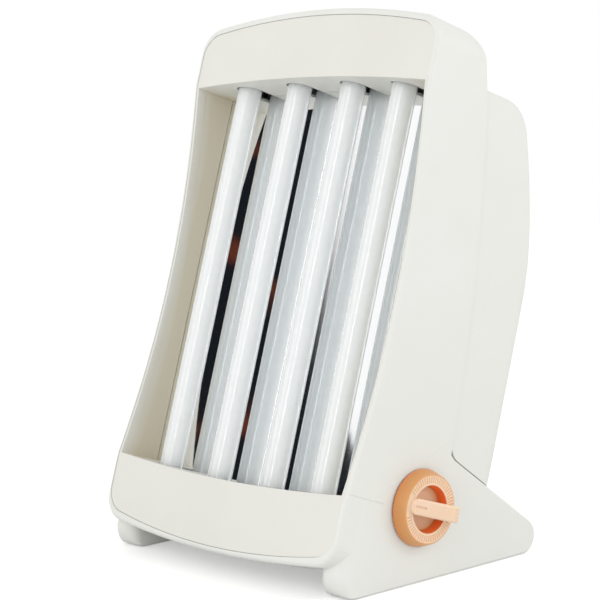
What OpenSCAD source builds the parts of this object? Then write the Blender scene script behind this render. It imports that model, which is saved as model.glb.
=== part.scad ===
// Table-top sun lamp with four slim ultraviolet tubes behind an open window.
// The body leans back on two skids that are one moulding with its side walls.
// Lengths are in millimetres. Inside the modules a second, leaning frame is used:
// x across, v into the body and square to the tubes, u up along the tubes.

/* [Body] */
// Width across the outer side walls
body_w = 222; // [214:1:236]
// Angle by which the tubes and the front lean back
tilt = 17.8; // [16.6:0.2:19]
// Distance of the front face ahead of the point where the skids leave the floor
front_reach = 29.2; // [28:0.2:31]
// Lowest point of the front face, measured up along the tubes
front_low = 6.9; // [6.6:0.1:8]
// Height of the front's head above the window, up to the top edge
head_h = 50.4; // [47:0.2:56]
// Radius of the arched top edge
crown_r = 560; // [500:10:700]
// Radius of the bowed bottom edge
belly_r = 780; // [650:10:900]
// Radius of the four corners of the front outline
corner_r = 17; // [14:1:20]
// Wall thickness of the moulded shells
wall = 2.5; // [2.2:0.1:2.8]
// Depth of the hollow in the side view of the front
front_hollow = 11; // [8:0.5:12]
// Height of the flat floor of the body above the table
belly_z = 14.5; // [13:0.5:15.5]
// Width of the rim beside, above and below the front frame
rim_side = 2.3; // [2.2:0.1:2.8]
rim_top = 4.7; // [4:0.1:5.5]
rim_low = 3.4; // [3:0.1:4]
// Depth of the lip that narrows the mouth of the housing
lip_depth = 3; // [2:0.5:4]

/* [Hood and side walls] */
// Depth of the hood, from the skids' front to its upright rear wall
hood_back = 118.5; // [114:0.5:122]
// Rounding between the hood's top and its rear wall
hood_r = 22; // [16:1:26]
// Distance of the hood's lower rear edge below the top edge, measured down along the tubes
hood_drop = 41.3448; // [40:0.0001:44]
// Point above the skid where the side wall's rear edge ends
flank_y = 79; // [77:0.5:81]
// Bulge of the side wall's curved rear edge
flank_bow = 5.6; // [4:0.2:7]
// Rounding where the side wall meets the skid
flank_r = 14; // [10:1:16]

/* [Skids] */
// Thickness of each skid
skid_w = 20.8; // [19:0.2:22]
// Distance of the skid's nose line ahead of the leaning origin
skid_reach = 21.4; // [20:0.2:22]
// Rounding under the nose
nose_r = 14; // [12:0.5:15]
// Distance from the origin at which the sloping top edge would meet the table
skid_tail = 180; // [174:0.5:186]
// Slope of the skid's top edge
skid_slope = 35.9; // [34.5:0.1:37]
// Rounding of the tail
tail_r = 11.5; // [10:0.5:12.5]
// Diameter of a pad under a skid, and how far it stands proud
pad_d = 12; // [10:0.5:13]
pad_proud = 0.5; // [0.4:0.1:0.8]

/* [Front frame] */
// Height of the window's lower edge at the side walls, measured up along the tubes
window_low = 56.8; // [54:0.2:58]
// Radius of the window's arched upper and lower edges
window_r = 1290; // [1200:10:1500]
// Wall thickness of the front frame
frame_wall = 1.9; // [1.6:0.1:2.2]
// Step between the rim and the front frame's face
frame_step = 0.5; // [0.3:0.1:0.8]
// Gap around the front frame
frame_gap = 0.2; // [0.15:0.05:0.3]
// Width of the slots that the tubes pass through
slot_w = 18.6; // [18:0.2:19.4]

/* [Tubes] */
// Diameter of a tube
tube_d = 16; // [15.6:0.1:16.4]
// Length over the two end caps
tube_len = 288; // [287:0.2:289]
// Length of each tube's end that the front frame hides
tube_cover = 17.9; // [17:0.1:19]
// Distance of the outer tubes' axes inside the side walls' outer faces, and of the inner ones from the outer ones
tube_side = 37.9; // [37:0.1:39]
tube_pitch = 47.75; // [47:0.05:48.5]
// Distance of the inner tubes' axes ahead of the leaning origin
tube_v = 9.7; // [9.4:0.1:10]
// Distance by which the outer tubes stand further forward
tube_arc = 1.6; // [1:0.1:1.8]
// Length of an end cap
cap_len = 9.5; // [8.5:0.5:10.5]
// Wall of the glass
glass_t = 0.8; // [0.6:0.1:1]
// Diameter and length of the contact pins, and the distance between them
pin_d = 2.35; // [2.3:0.05:2.4]
pin_len = 7.1; // [6.6:0.1:7.4]
pin_pitch = 4.75; // [4.6:0.05:4.9]

/* [Chassis] */
// Place of the mirror's front face behind the leaning origin
mirror_v = 3; // [2.8:0.1:3.4]
// Thickness of the mirror sheet and of the steel chassis
mirror_t = 0.5; // [0.4:0.1:0.6]
chassis_t = 1; // [0.8:0.1:1.2]
// Distance of the mirror's and of the chassis plate's edges inside the side walls' outer faces
mirror_inset = 3.7; // [3.4:0.1:3.9]
chassis_inset = 5; // [4.5:0.5:6.5]
// Depth of the chassis's end flanges ahead of its plate
flange_depth = 25; // [24:0.5:26.5]
// Size of a lamp holder across, deep and along the tube
holder_w = 22; // [21:0.5:23]
holder_d = 20; // [19:0.5:21]
holder_h = 12.4; // [12:0.1:13]
// Diameter and thickness of the turning insert in a lamp holder
rotor_d = 12.4; // [12:0.1:13]
rotor_t = 4.6; // [4.2:0.1:5]
// Running clearance between a turning piece and its bore
run_fit = 0.05; // [0.03:0.01:0.08]
// Gap between pieces that are seated on each other
seat_gap = 0.2; // [0.15:0.05:0.3]

/* [Ballasts and starters] */
// Size of a choke's iron core across, deep and along the tubes
core_w = 41; // [38:1:44]
core_d = 28; // [26:1:30]
core_h = 62; // [58:1:66]
// Length of the winding, which shows at both ends of the core
coil_h = 78; // [74:1:82]
// Distance of the two chokes' centres from the middle, and their height above the window's lower edge
choke_x1 = -46; // [-48:1:-44]
choke_x2 = 12; // [10:1:14]
choke_rise = 47.2; // [45:0.2:50]
// Diameter and length of a starter's can
starter_d = 21.5; // [21:0.1:22]
starter_len = 34; // [32:1:36]
// Height of the row of starters above the chokes' middle
starter_rise = 101; // [96:1:106]
// Distance of the outer starters' axes inside the chassis plate's edges
starter_inset = 40; // [38:0.5:43]

/* [Timer] */
// Centre of the timer behind and above the leaning origin
timer_v = 33.6; // [33:0.1:34.4]
timer_u = 59.4; // [59:0.1:60.4]
// Length of the bosses that carry the timer on the side wall
timer_boss = 6; // [5.5:0.5:7]
// Depth of the timer's case, and its size along and across the tubes
timer_depth = 27; // [26.5:0.5:28.5]
timer_h = 44; // [43.5:0.5:46]
timer_w = 42; // [41.5:0.5:43]
// Diameter of the shaft
shaft_d = 6; // [5.8:0.1:6.4]
// Outer diameter at the knob's base and at its face
knob_d = 47.5; // [46:0.5:49]
knob_face_d = 42; // [41:0.5:43]
// Height of the knob's face above its base
knob_h = 8.6; // [8:0.1:9.4]
// Diameter and depth of the dish in the face
dish_d = 29; // [28:0.5:30]
dish_depth = 6.4; // [5.8:0.1:6.6]
// Width of the grip bar and its height above the face at the high end
grip_w = 10; // [9:0.5:11]
grip_rise = 8.4; // [7:0.2:10]
// Number of graduations around the face
tick_count = 60; // [30:1:72]
// Gap between the knob and the side wall
knob_gap = 0.6; // [0.5:0.1:0.9]

/* [Back cover] */
// Furthest point of the back behind the skids' front
cover_back = 156.5; // [154:0.5:159]
// Distance of that point below the hood's lower rear edge
apex_drop = 67; // [60:1:74]
// Depth of the curved back at the height of the body's floor
cover_low_y = 94.1237; // [90:0.0001:100]
// Step between the hood's lower rear edge and the cover's top
top_step = 0.4552; // [0.3:0.0001:1.5]
// Rounding at the top and at the bottom of the back
cover_top_r = 25; // [20:1:30]
cover_low_r = 14; // [11:1:17]
// Rounding of the upright rear corners
cover_side_r = 12; // [9:1:14]
// Step between the side wall and the cover's flank
cover_step = 0.9; // [0.7:0.1:1.2]
// Depth of the tongue that reaches into the housing
tongue = 8; // [7:0.5:9]
// Diameter of the hole for the supply cord, and its place
cord_d = 7.2; // [6.8:0.1:7.6]
cord_x = -62; // [-64:1:-60]
cord_z = 42; // [40:0.5:44]

/* [Fixings and vents] */
// Distance of the screws' axes inside the side walls' outer faces
fix_inset = 10; // [9.5:0.5:11]
// Height of the frame's lower screws, and distance of its upper ones below the top edge
fix_low = 34; // [33:0.5:36]
fix_drop = 28.4; // [27:0.2:30]
// Diameter of the screws
fix_d = 3; // [2.8:0.1:3.2]
// Height of the cover's lower screw posts, and distance of its upper ones below the window's upper edge
post_low = 115; // [110:1:120]
post_drop = 24; // [22:1:28]
// Place of the posts' ends behind the leaning origin
post_end = 30; // [28:1:34]
// Width of the ledges inside the side walls
ledge_w = 13; // [12:0.5:14]
// Length and height of a cooling slot, the spacing of the slots, and their distance from the middle
vent_w = 48; // [40:1:60]
vent_h = 3; // [2.5:0.5:4]
vent_pitch = 8; // [7:0.5:10]
vent_in = 14; // [10:1:20]
// Number of slots in an upper and in a lower group
vents_high = 6; // [3:1:7]
vents_low = 5; // [3:1:6]

/* [Hidden] */
$fn = 48;

half_w = body_w / 2;
ct = cos(tilt);
st = sin(tilt);
window_high = window_low + tube_len - 2 * tube_cover;
front_top = window_high + head_h;
// Reach of the cutting shapes behind or above the body, and ahead of or below it
far = 2 * front_top;
near = 2 * front_reach;

// A point given behind and above the skids' front, in the leaning frame
function lean(y, z) = [y * ct - z * st, y * st + z * ct];
// The same for a point of the leaning frame, back in the upright frame
function upright(v, u) = [v * ct + u * st, u * ct - v * st];
// Where a line of constant v meets the height z, and where the depth y meets the line of constant u
function u_at(v, z) = (z + v * st) / ct;
function v_at(y, u) = (y - u * st) / ct;
function reversed(list) = [for (i = [len(list) - 1:-1:0]) list[i]];
function moved(list, d) = [for (p = list) p + d];
// Points of an arc without its last point
function arc(cx, cy, r, a0, a1, n) =
    [for (i = [0:n - 1]) let(a = a0 + (a1 - a0) * i / n) [cx + r * cos(a), cy + r * sin(a)]];
// Points between two ends on an arc that rises to the left of the way from p to q
function bow(p, q, rise, n) =
    let(d = q - p, len = norm(d), r = (len * len / 4 + rise * rise) / (2 * abs(rise)), s = sign(rise))
    let(m = (p + q) / 2, side = [-d[1], d[0]] / len, c = m - side * s * (r - abs(rise)))
    let(a0 = atan2(p[1] - c[1], p[0] - c[0]), half = asin(len / 2 / r))
    [for (i = [1:n - 1]) let(a = a0 - s * 2 * half * i / n) [c[0] + r * cos(a), c[1] + r * sin(a)]];
// One corner b between a and c, rounded to radius r
function corner(a, b, c, r) =
    r <= 0 ? [b] :
    let(p = (a - b) / norm(a - b), q = (c - b) / norm(c - b), half = acos(p * q) / 2)
    let(m = b + (p + q) / norm(p + q) * r / sin(half), e = b + p * r / tan(half), f = b + q * r / tan(half))
    let(a0 = atan2(e[1] - m[1], e[0] - m[0]), a1 = atan2(f[1] - m[1], f[0] - m[0]))
    let(turn = (a1 - a0 + 540) % 360 - 180, n = max(2, ceil(abs(turn) / 9)))
    [for (i = [0:n]) [m[0] + r * cos(a0 + turn * i / n), m[1] + r * sin(a0 + turn * i / n)]];
// A closed outline whose corners are given as [point, radius]
function rounded(list) =
    let(n = len(list))
    [for (i = [0:n - 1]) each corner(list[(i + n - 1) % n][0], list[i][0], list[(i + 1) % n][0],
        list[i][1])];
// Sharp corners made from plain points
function sharp(points) = [for (p = points) [p, 0]];
// A rectangle between two opposite corners, rounded to radius r
function panel(x0, y0, x1, y1, r) = rounded([[[x0, y0], r], [[x1, y0], r], [[x1, y1], r], [[x0, y1], r]]);
// Outline of a strip of width w along a chain of points
function strip(points, w) =
    let(n = len(points), way = [for (i = [0:n - 2])
        (points[i + 1] - points[i]) / norm(points[i + 1] - points[i])])
    let(left = [for (i = [0:n - 1]) let(a = way[max(0, i - 1)], b = way[min(n - 2, i)])
        let(m = [-a[1] - b[1], a[0] + b[0]]) m / (m * [-a[1], a[0]]) * w / 2])
    concat([for (i = [0:n - 1]) points[i] - left[i]], [for (i = [n - 1:-1:0]) points[i] + left[i]]);

// Barrel-shaped outline across the front: straight sides, arched top, bowed bottom
function barrel(half, top, low, top_r, low_r, cr) =
    let(k = half - cr, ct_y = top - top_r, cl_y = low + low_r)
    let(yt = ct_y + sqrt(pow(top_r - cr, 2) - k * k), yl = cl_y - sqrt(pow(low_r - cr, 2) - k * k))
    let(at = atan2(yt - ct_y, k), al = atan2(yl - cl_y, k))
    concat(arc(k, yl, cr, al, 0, 9), arc(k, yt, cr, 0, at, 9), arc(0, ct_y, top_r, at, 180 - at, 14),
        arc(-k, yt, cr, 180 - at, 180, 9), arc(-k, yl, cr, 180, 180 - al, 9),
        arc(0, cl_y, low_r, 180 - al, 360 + al, 14));
function body_outline(inset) = barrel(half_w - inset, front_top - inset, front_low + inset,
    crown_r - inset, belly_r - inset, corner_r - inset);
// Outline of the front frame, with the same crown above and below
function frame_outline(inset) = barrel(half_w - rim_side - inset, front_top - rim_top - inset,
    front_low + rim_low + inset, crown_r - rim_top - inset, crown_r - rim_top - inset,
        corner_r - 1 - inset);
// Window outline, grown upward and downward by grow
function window_outline(half, grow) =
    let(rise = window_r - sqrt(window_r * window_r - pow(half_w - rim_side, 2)))
    let(low = window_low - grow, high = window_high + grow)
    concat([[-half, low]], bow([-half, low], [half, low], -rise, 14), [[half, low], [half, high]],
        bow([half, high], [-half, high], -rise, 14), [[-half, high]]);

// Front edge of the body in the side view, deepened by d, from the height z up to the line u = top
function front_edge(d, z, top) =
    let(v0 = d - front_reach, a = [v0, window_low], b = [v0, window_high])
    concat([[v0, u_at(v0, z)], a], bow(a, b, -front_hollow, 16), [b, [v0, top]]);
function skid_line(y, d) = (skid_tail - y) * tan(skid_slope) - d / cos(skid_slope);
flank_top = [v_at(hood_back, front_top - hood_drop), front_top - hood_drop];
hood_low = upright(flank_top[0], flank_top[1])[1];
flank_end = lean(flank_y, skid_line(flank_y, 0));
flank_curve = bow(flank_top, flank_end, flank_bow, 12);
// Rear edge of the side wall from above to below, shifted in depth
function flank(shift) = moved(concat([flank_top], flank_curve, [flank_end, lean(flank_y, belly_z)]),
    [shift, 0]);
// The hood's top plane lies just above the crown, so that the crown alone shapes the top
hood_line = front_top + 1;
hood_corner = [v_at(hood_back, hood_line), hood_line];
// Side view of the body without the skids
function body_side() = rounded(concat(sharp(front_edge(0, belly_z, hood_line)), [[hood_corner, hood_r]],
    sharp(flank(0))));
// A band of the side view between two depths and two heights of the upright frame
function upright_band(y0, y1, z0, z1) = [lean(y0, z0), lean(y1, z0), lean(y1, z1), lean(y0, z1)];
function above(z0, z1) = upright_band(-far, far, z0, z1);

// A side-view outline [v, u] carried across the width between x0 and x1
module across(points, x0, x1) {
    translate([x0, 0, 0]) rotate([90, 0, 90]) linear_extrude(x1 - x0) polygon(points);
}
// A front-view outline [x, u] carried into the body between v0 and v1
module into(points, v0, v1) {
    translate([0, v1, 0]) rotate([90, 0, 0]) linear_extrude(v1 - v0) polygon(points);
}
// A plan outline [x, v] carried up along the tubes between u0 and u1
module upward(points, u0, u1) {
    translate([0, 0, u0]) linear_extrude(u1 - u0) polygon(points);
}
// Children drawn along +Z are turned to point into the body, or out through the right side wall
module inward(x, v, u) { translate([x, v, u]) rotate([-90, 0, 0]) children(); }
module sideways(x, v, u) { translate([x, v, u]) rotate([0, 90, 0]) children(); }
// Children given in the upright frame, for use among leaning ones
module standing() { rotate([tilt, 0, 0]) children(); }
// Leaning frame to upright frame, with the origin under the middle of the whole lamp
knob_top = half_w + knob_gap + knob_h + grip_rise;
origin_x = (knob_top - half_w) / 2;
front_y = upright(-front_reach, front_low)[0];
origin_y = (front_y + cover_back) / 2;
module placed() { translate([-origin_x, -origin_y, 0]) rotate([-tilt, 0, 0]) children(); }
module both_sides() { children(); mirror([1, 0, 0]) children(); }

// Screw with a cross recess, standing on the plane of its head's seat, shank downward
module screw(shank, length, head, height) {
    difference() {
        union() {
            cylinder(d = head, h = height);
            translate([0, 0, -length]) cylinder(d = shank, h = length + 0.1);
        }
        for (a = [0, 90]) rotate(a) translate([-head * 0.3, -0.4, height * 0.5]) cube([head * 0.6, 0.8,
            height]);
    }
}

// Skids
skid_in = half_w - skid_w;
module skid_plan(d) {
    r = skid_w / 2 - d;
    x = half_w - skid_w / 2;
    v = skid_w / 2 - skid_reach;
    upward(concat(arc(x, v, r, 180, 360, 16), [[x + r, v], [x + r, far], [x - r, far]]), -near, far);
}
// A skid's rounding starts a little behind the rear edge of the side wall and runs a little inside it above,
// so that the two outlines cross at one place and never lie in one plane
skid_cross = 0.2;
flank_foot = flank_end + (flank_curve[len(flank_curve) - 1] - flank_end) * 0.62 - [3 * skid_cross, 0];
function skid_side(d) =
    let(v0 = d - skid_reach, tail = skid_tail - (d + d / cos(skid_slope)) / tan(skid_slope))
    rounded([[[v0, u_at(v0, d)], nose_r - d], [lean(tail, d), tail_r - d],
        [lean(flank_y + skid_cross, skid_line(flank_y + skid_cross, d)), flank_r + d], [flank_foot, 0],
        [[v0, 45], 0]]);
skid_roof = belly_z - 0.4;
// Side view of the room under a skid: below the body's floor ahead of the flank, up to the slope behind it
function skid_pocket() =
    let(v0 = wall - skid_reach, tail = skid_tail - (wall + wall / cos(skid_slope)) / tan(skid_slope))
    rounded([[[v0, u_at(v0, wall)], nose_r - wall], [lean(tail, wall), tail_r - wall],
        [lean(flank_y - 20, skid_line(flank_y - 20, wall)), 0], [[v0, 80], 0]]);
function skid_ceiling() = [lean(-near, -near), lean(far, -near), lean(far, far), lean(flank_y + 0.4, far),
    lean(flank_y + 0.4, skid_roof), lean(-near, skid_roof)];
// Reach of a skid's open underside ahead of and behind the origin, and its cross ribs
pocket_in = 4;
pocket_end = 36;
rib_ys = [30, 55, 78, 104];
rib_t = 1.6;
pad_front = 9;
pad_back = 128;
pad_x = half_w - skid_w / 2;
pad_t = 3;
pad_stem_d = 5;
pad_stem_h = 5;
module skid_block() {
    intersection() {
        across(skid_side(0), skid_in, half_w);
        skid_plan(0);
        across(above(pad_proud, skid_line(0, 0)), skid_in - 1, half_w + 1);
    }
}
module skid_hollow() {
    difference() {
        intersection() {
            union() {
                across(skid_pocket(), skid_in + wall, half_w - wall);
                across(upright_band(-pocket_in, skid_tail - pocket_end, -near, wall + 2), skid_in + wall,
                    half_w - wall);
            }
            skid_plan(wall + 0.1);
            across(skid_ceiling(), 0, half_w);
        }
        standing() for (y = rib_ys) translate([skid_in, y, -near]) cube([skid_w, rib_t, far]);
        standing() for (y = [pad_front, pad_back]) translate([pad_x, y, -near]) cylinder(d = pad_d + 3,
            h = far);
    }
    standing() for (y = [pad_front, pad_back]) translate([pad_x, y, 0]) {
        translate([0, 0, -1]) cylinder(d = pad_d + 2 * seat_gap, h = pad_t + 1);
        cylinder(d = pad_stem_d + 0.1, h = pad_t + pad_stem_h + 0.5);
    }
}
module skid_pads() {
    color([0.2, 0.2, 0.2]) both_sides() standing()
        for (y = [pad_front, pad_back]) translate([pad_x, y, 0]) {
            cylinder(d = pad_d, h = pad_t);
            cylinder(d = pad_stem_d, h = pad_t + pad_stem_h);
        }
}

// Outer housing
shell = rim_side - frame_gap - 0.1;
cavity_half = half_w - shell;
plate_v = mirror_v + mirror_t;
ledge_v = plate_v + chassis_t;
ledge_t = 3;
ledge_low = 22;
ledge_high = front_top - 14.4;
fix_x = half_w - fix_inset;
fix_us = [fix_low, front_top - fix_drop];
post_us = [post_low, window_high - post_drop];
post_d = 8;
post_rib = 1.6;
case_u0 = timer_u - 19;
case_v0 = timer_v - 24;
ear_v = timer_v - 3;
ear_us = [case_u0 - 5, case_u0 + timer_h + 5];
cavity_floor = belly_z + wall;
mouth_floor = cavity_floor + 0.3;
// The room opens to the back below the hood's rear wall and above the skids' tails
hood_sill = flank_top[1] - 1;
behind = [for (p = flank(1)) if (upright(p[0], p[1])[1] > skid_line(flank_y, 0) + 6) p];
behind_low = upright(behind[len(behind) - 1][0], behind[len(behind) - 1][1])[1];
// Side view of the room inside, open behind the side walls and closed ahead of the skids' tails
function cavity_side() =
    let(jamb = flank_y - wall)
    concat(front_edge(lip_depth, cavity_floor, hood_line - wall), rounded([[[-hood_r, hood_line - wall], 0],
        [[v_at(hood_back - wall, hood_line - wall), hood_line - wall], hood_r - wall],
        [[v_at(hood_back - wall, hood_sill), hood_sill], 0], [[behind[0][0], hood_sill], 0]]),
        [for (i = [1:len(behind) - 1]) behind[i]], [lean(jamb, behind_low - 4), lean(jamb, cavity_floor)]);
module cavity() {
    intersection() {
        into(body_outline(shell), -front_reach - 1, far);
        across(cavity_side(), -half_w, half_w);
    }
    across(upright_band(flank_y - 20, flank_y + 60, cavity_floor, skid_line(flank_y, 0)), wall - skid_in,
        skid_in - wall);
    intersection() {
        into(frame_outline(-frame_gap), -front_reach - 5, 0);
        across(above(mouth_floor, far), -half_w, half_w);
    }
}
// Engraved mark on the right side wall, which points at the knob from the front
mark_deep = 0.3;
mark_v = front_reach - 2.6;
mark_low = 1.9;
mark_slope = 2.2;
mark_len = timer_v - 4.4;
mark_w = 0.8;
module outer_housing() {
    color([0.91, 0.91, 0.88]) difference() {
        union() {
            difference() {
                union() {
                    intersection() {
                        into(body_outline(0), -front_reach - 1, far);
                        across(body_side(), -half_w - 1, half_w + 1);
                    }
                    both_sides() skid_block();
                }
                cavity();
                both_sides() skid_hollow();
            }
            intersection() {
                into(body_outline(1), 0, 60);
                both_sides() {
                    translate([half_w - ledge_w, ledge_v, ledge_low]) cube([ledge_w, ledge_t,
                        ledge_high - ledge_low]);
                    for (u = post_us) {
                        inward(fix_x, ledge_v + 1, u) cylinder(d = post_d, h = post_end - ledge_v - 1);
                        translate([fix_x, ledge_v + 1, u - post_rib / 2]) cube([fix_inset, 11, post_rib]);
                    }
                }
            }
            for (u = ear_us) sideways(cavity_half - timer_boss, ear_v, u) cylinder(d = boss_d,
                h = timer_boss + 1);
        }
        both_sides() {
            for (u = post_us) inward(fix_x, post_end - 16, u) cylinder(d = fix_d, h = 20);
            for (u = fix_us) inward(fix_x, 0, u) cylinder(d = fix_d + 0.4, h = 12);
        }
        for (u = ear_us) sideways(cavity_half - timer_boss - 1, ear_v, u) cylinder(d = 2.5, h = timer_boss);
        sideways(cavity_half - 5, timer_v, timer_u) cylinder(d = shaft_d + 4, h = 10);
        translate([half_w - mark_deep, -mark_v, timer_u - mark_low]) rotate([-mark_slope, 0, 0]) cube([1,
            mark_len, mark_w]);
    }
}

// Front frame
slot_r = slot_w / 2;
// Reach of the tubes' slots into the frame's head and foot, and past its edge into the window
slot_deep = 12;
slot_past = 6;
slot_ahead = 20;
boss_d = 7;
frame_back = mirror_v - seat_gap;
frame_half = half_w - rim_side;
tube_x_outer = half_w - tube_side;
tube_x_inner = tube_x_outer - tube_pitch;
tube_place = [[-tube_x_outer, -tube_v - tube_arc], [-tube_x_inner, -tube_v],
    [tube_x_inner, -tube_v], [tube_x_outer, -tube_v - tube_arc]];
module front_frame() {
    color([0.89, 0.87, 0.81]) difference() {
        union() {
            intersection() {
                difference() {
                    into(frame_outline(0), -front_reach - 1, 60);
                    into(window_outline(frame_half - frame_wall, 0), -front_reach - 2, 61);
                }
                across(concat(front_edge(frame_step, 0, far), reversed(front_edge(frame_step + frame_wall,
                    0, far))),
                    -half_w, half_w);
            }
            intersection() {
                difference() {
                    into(frame_outline(0), -front_reach - 1, 60);
                    into(frame_outline(frame_wall), -front_reach - 2, 61);
                }
                across(concat(front_edge(frame_step + 0.1, 0, far), reversed(front_edge(frame_step + 7, 0,
                    far))), -half_w, half_w);
            }
            intersection() {
                difference() {
                    into(window_outline(frame_half, frame_wall), -front_reach, frame_back);
                    into(window_outline(frame_half - frame_wall, 0), -front_reach - 1, frame_back + 1);
                }
                across(concat(front_edge(frame_step + 0.1, 0, far), [[frame_back + 2, far],
                    [frame_back + 2, 0]]), -half_w, half_w);
            }
            both_sides() for (u = fix_us)
                inward(fix_x, frame_step + frame_wall / 2 - front_reach, u)
                    cylinder(d = boss_d, h = plate_v - seat_gap - frame_step - frame_wall / 2 + front_reach);
        }
        across(above(-near, mouth_floor + frame_gap), -half_w, half_w);
        for (p = tube_place) {
            x = p[0];
            upward(concat(arc(x, p[1], slot_r, 180, 360, 16), [[x + slot_r, slot_ahead], [x - slot_r,
                slot_ahead]]), window_low - slot_deep, window_low + slot_past);
            upward(concat(arc(x, p[1], slot_r, 180, 360, 16), [[x + slot_r, slot_ahead], [x - slot_r,
                slot_ahead]]), window_high - slot_past, window_high + slot_deep);
        }
        both_sides() for (u = fix_us) inward(fix_x, plate_v - 12, u) cylinder(d = fix_d, h = 20);
    }
}

// Mirror and chassis
mid_u = (window_low + window_high) / 2;
end_w = tube_len / 2;
holder_w0 = end_w + 0.6;
flange_w = holder_w0 + holder_h + seat_gap;
mirror_over = 12;
mirror_half = half_w - mirror_inset;
chassis_half = half_w - chassis_inset;
flange_half = tube_x_outer + holder_w / 2 + 8;
tongue_w = 8;
tongue_d = 6;
// Holes through the chassis for the holders' wires, beside each tube, and for the chokes' screws
wire_hole_d = 6;
wire_hole_x = 14;
loom_drop = 10;
choke_screw_d = 3.2;
// Children drawn above the tubes' middle, at the upper (1) or the lower (-1) end
module at_end(side) { translate([0, 0, mid_u]) mirror([0, 0, side < 0 ? 1 : 0]) children(); }
module mirror_reflector() {
    color([0.75, 0.76, 0.78])
        translate([-mirror_half, mirror_v, window_low - mirror_over])
            cube([2 * mirror_half, mirror_t, window_high - window_low + 2 * mirror_over]);
}
module chassis() {
    color([0.7, 0.71, 0.72]) difference() {
        union() {
            translate([-chassis_half, plate_v, mid_u - flange_w - chassis_t])
                cube([2 * chassis_half, chassis_t, 2 * (flange_w + chassis_t)]);
            for (side = [-1, 1]) at_end(side)
                translate([-flange_half, plate_v + chassis_t - flange_depth, flange_w])
                    cube([2 * flange_half, flange_depth, chassis_t]);
        }
        for (side = [-1, 1]) at_end(side) {
            for (p = tube_place) translate([p[0], p[1], flange_w])
                cube([tongue_w + 0.4, tongue_d + 0.4, 3], center = true);
            for (p = tube_place)
                inward(p[0] + wire_hole_x, plate_v - 1, flange_w - loom_drop) cylinder(d = wire_hole_d,
                    h = 3);
        }
        for (x = [-fix_x, fix_x], u = fix_us) inward(x, plate_v - 1, u) cylinder(d = fix_d + 0.4, h = 3);
        for (c = choke_place, s = [-1, 1]) inward(c[0], plate_v - 1, c[1] + s * choke_hole)
            cylinder(d = choke_screw_d + seat_gap, h = 3);
    }
}

// Tubes, each drawn about the middle of its own axis
module tube_frame(i) { translate([tube_place[i - 1][0], tube_place[i - 1][1], mid_u]) children(); }
neck_r = tube_d / 2 - 0.6;
module tube_glass(i) {
    a = end_w - 2;
    b = end_w - cap_len - 0.3;
    r = tube_d / 2;
    color([0.86, 0.88, 0.89, 0.95]) tube_frame(i) difference() {
        rotate_extrude() polygon([[0, -a], [neck_r, -a], [neck_r, -b], [r, -b], [r, b], [neck_r, b],
            [neck_r, a], [0, a]]);
        rotate_extrude() polygon([[0, 2 - a], [neck_r - glass_t, 2 - a], [neck_r - glass_t, 1 - b],
            [r - glass_t, 2 - b],
            [r - glass_t, b - 2], [neck_r - glass_t, b - 1], [neck_r - glass_t, a - 2], [0, a - 2]]);
    }
}
module tube_caps(i) {
    color([0.78, 0.78, 0.76]) tube_frame(i) for (side = [0, 1]) mirror([0, 0, side]) {
        difference() {
            translate([0, 0, end_w - cap_len]) cylinder(d = tube_d, h = cap_len);
            translate([0, 0, end_w - cap_len - 1]) cylinder(r = neck_r + 0.1, h = cap_len - 0.9);
        }
        for (s = [-1, 1]) translate([s * pin_pitch / 2, 0, end_w - 0.5]) cylinder(d = pin_d,
            h = pin_len + 0.5);
    }
}
rotor_w = end_w + 0.9;
module holder_rotors(i) {
    reach = pin_pitch / 2;
    half = pin_d / 2 + run_fit;
    color([0.95, 0.94, 0.9]) tube_frame(i) for (side = [0, 1]) mirror([0, 0, side]) difference() {
        translate([0, 0, rotor_w]) cylinder(d = rotor_d, h = rotor_t);
        translate([-reach, 0, rotor_w - 1]) cylinder(r = half, h = rotor_t + 2);
        translate([-reach, -half, rotor_w - 1]) cube([rotor_d, 2 * half, rotor_t + 2]);
    }
}
chamber_r = pin_pitch / 2 + pin_d / 2 + 0.7;
module lamp_holder(i, side) {
    p = tube_place[i - 1];
    slot = pin_d + 0.9;
    color([0.93, 0.92, 0.88]) at_end(side) translate([p[0], p[1], 0]) difference() {
        union() {
            upward(panel(-holder_w / 2, -holder_d / 2, holder_w / 2, holder_d / 2, 4), holder_w0,
                holder_w0 + holder_h);
            translate([-tongue_w / 2, -tongue_d / 2, holder_w0]) cube([tongue_w, tongue_d,
                holder_h + seat_gap + chassis_t + 2]);
        }
        translate([0, 0, holder_w0 - 1]) cylinder(d = rotor_d + 2 * run_fit,
            h = rotor_w - holder_w0 + rotor_t + 1.1);
        translate([0, 0, holder_w0]) cylinder(r = chamber_r, h = rotor_w - holder_w0 + rotor_t + 2.6);
        translate([-slot / 2, -holder_d, holder_w0 - 1]) cube([slot, holder_d,
            rotor_w - holder_w0 + rotor_t + 3.6]);
    }
}

// Chokes, each drawn about the point of the chassis under its middle
choke_u = window_low + choke_rise;
choke_place = [[choke_x1, choke_u], [choke_x2, choke_u]];
choke_hole = core_h / 2 + 12;
strap_t = 1;
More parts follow.
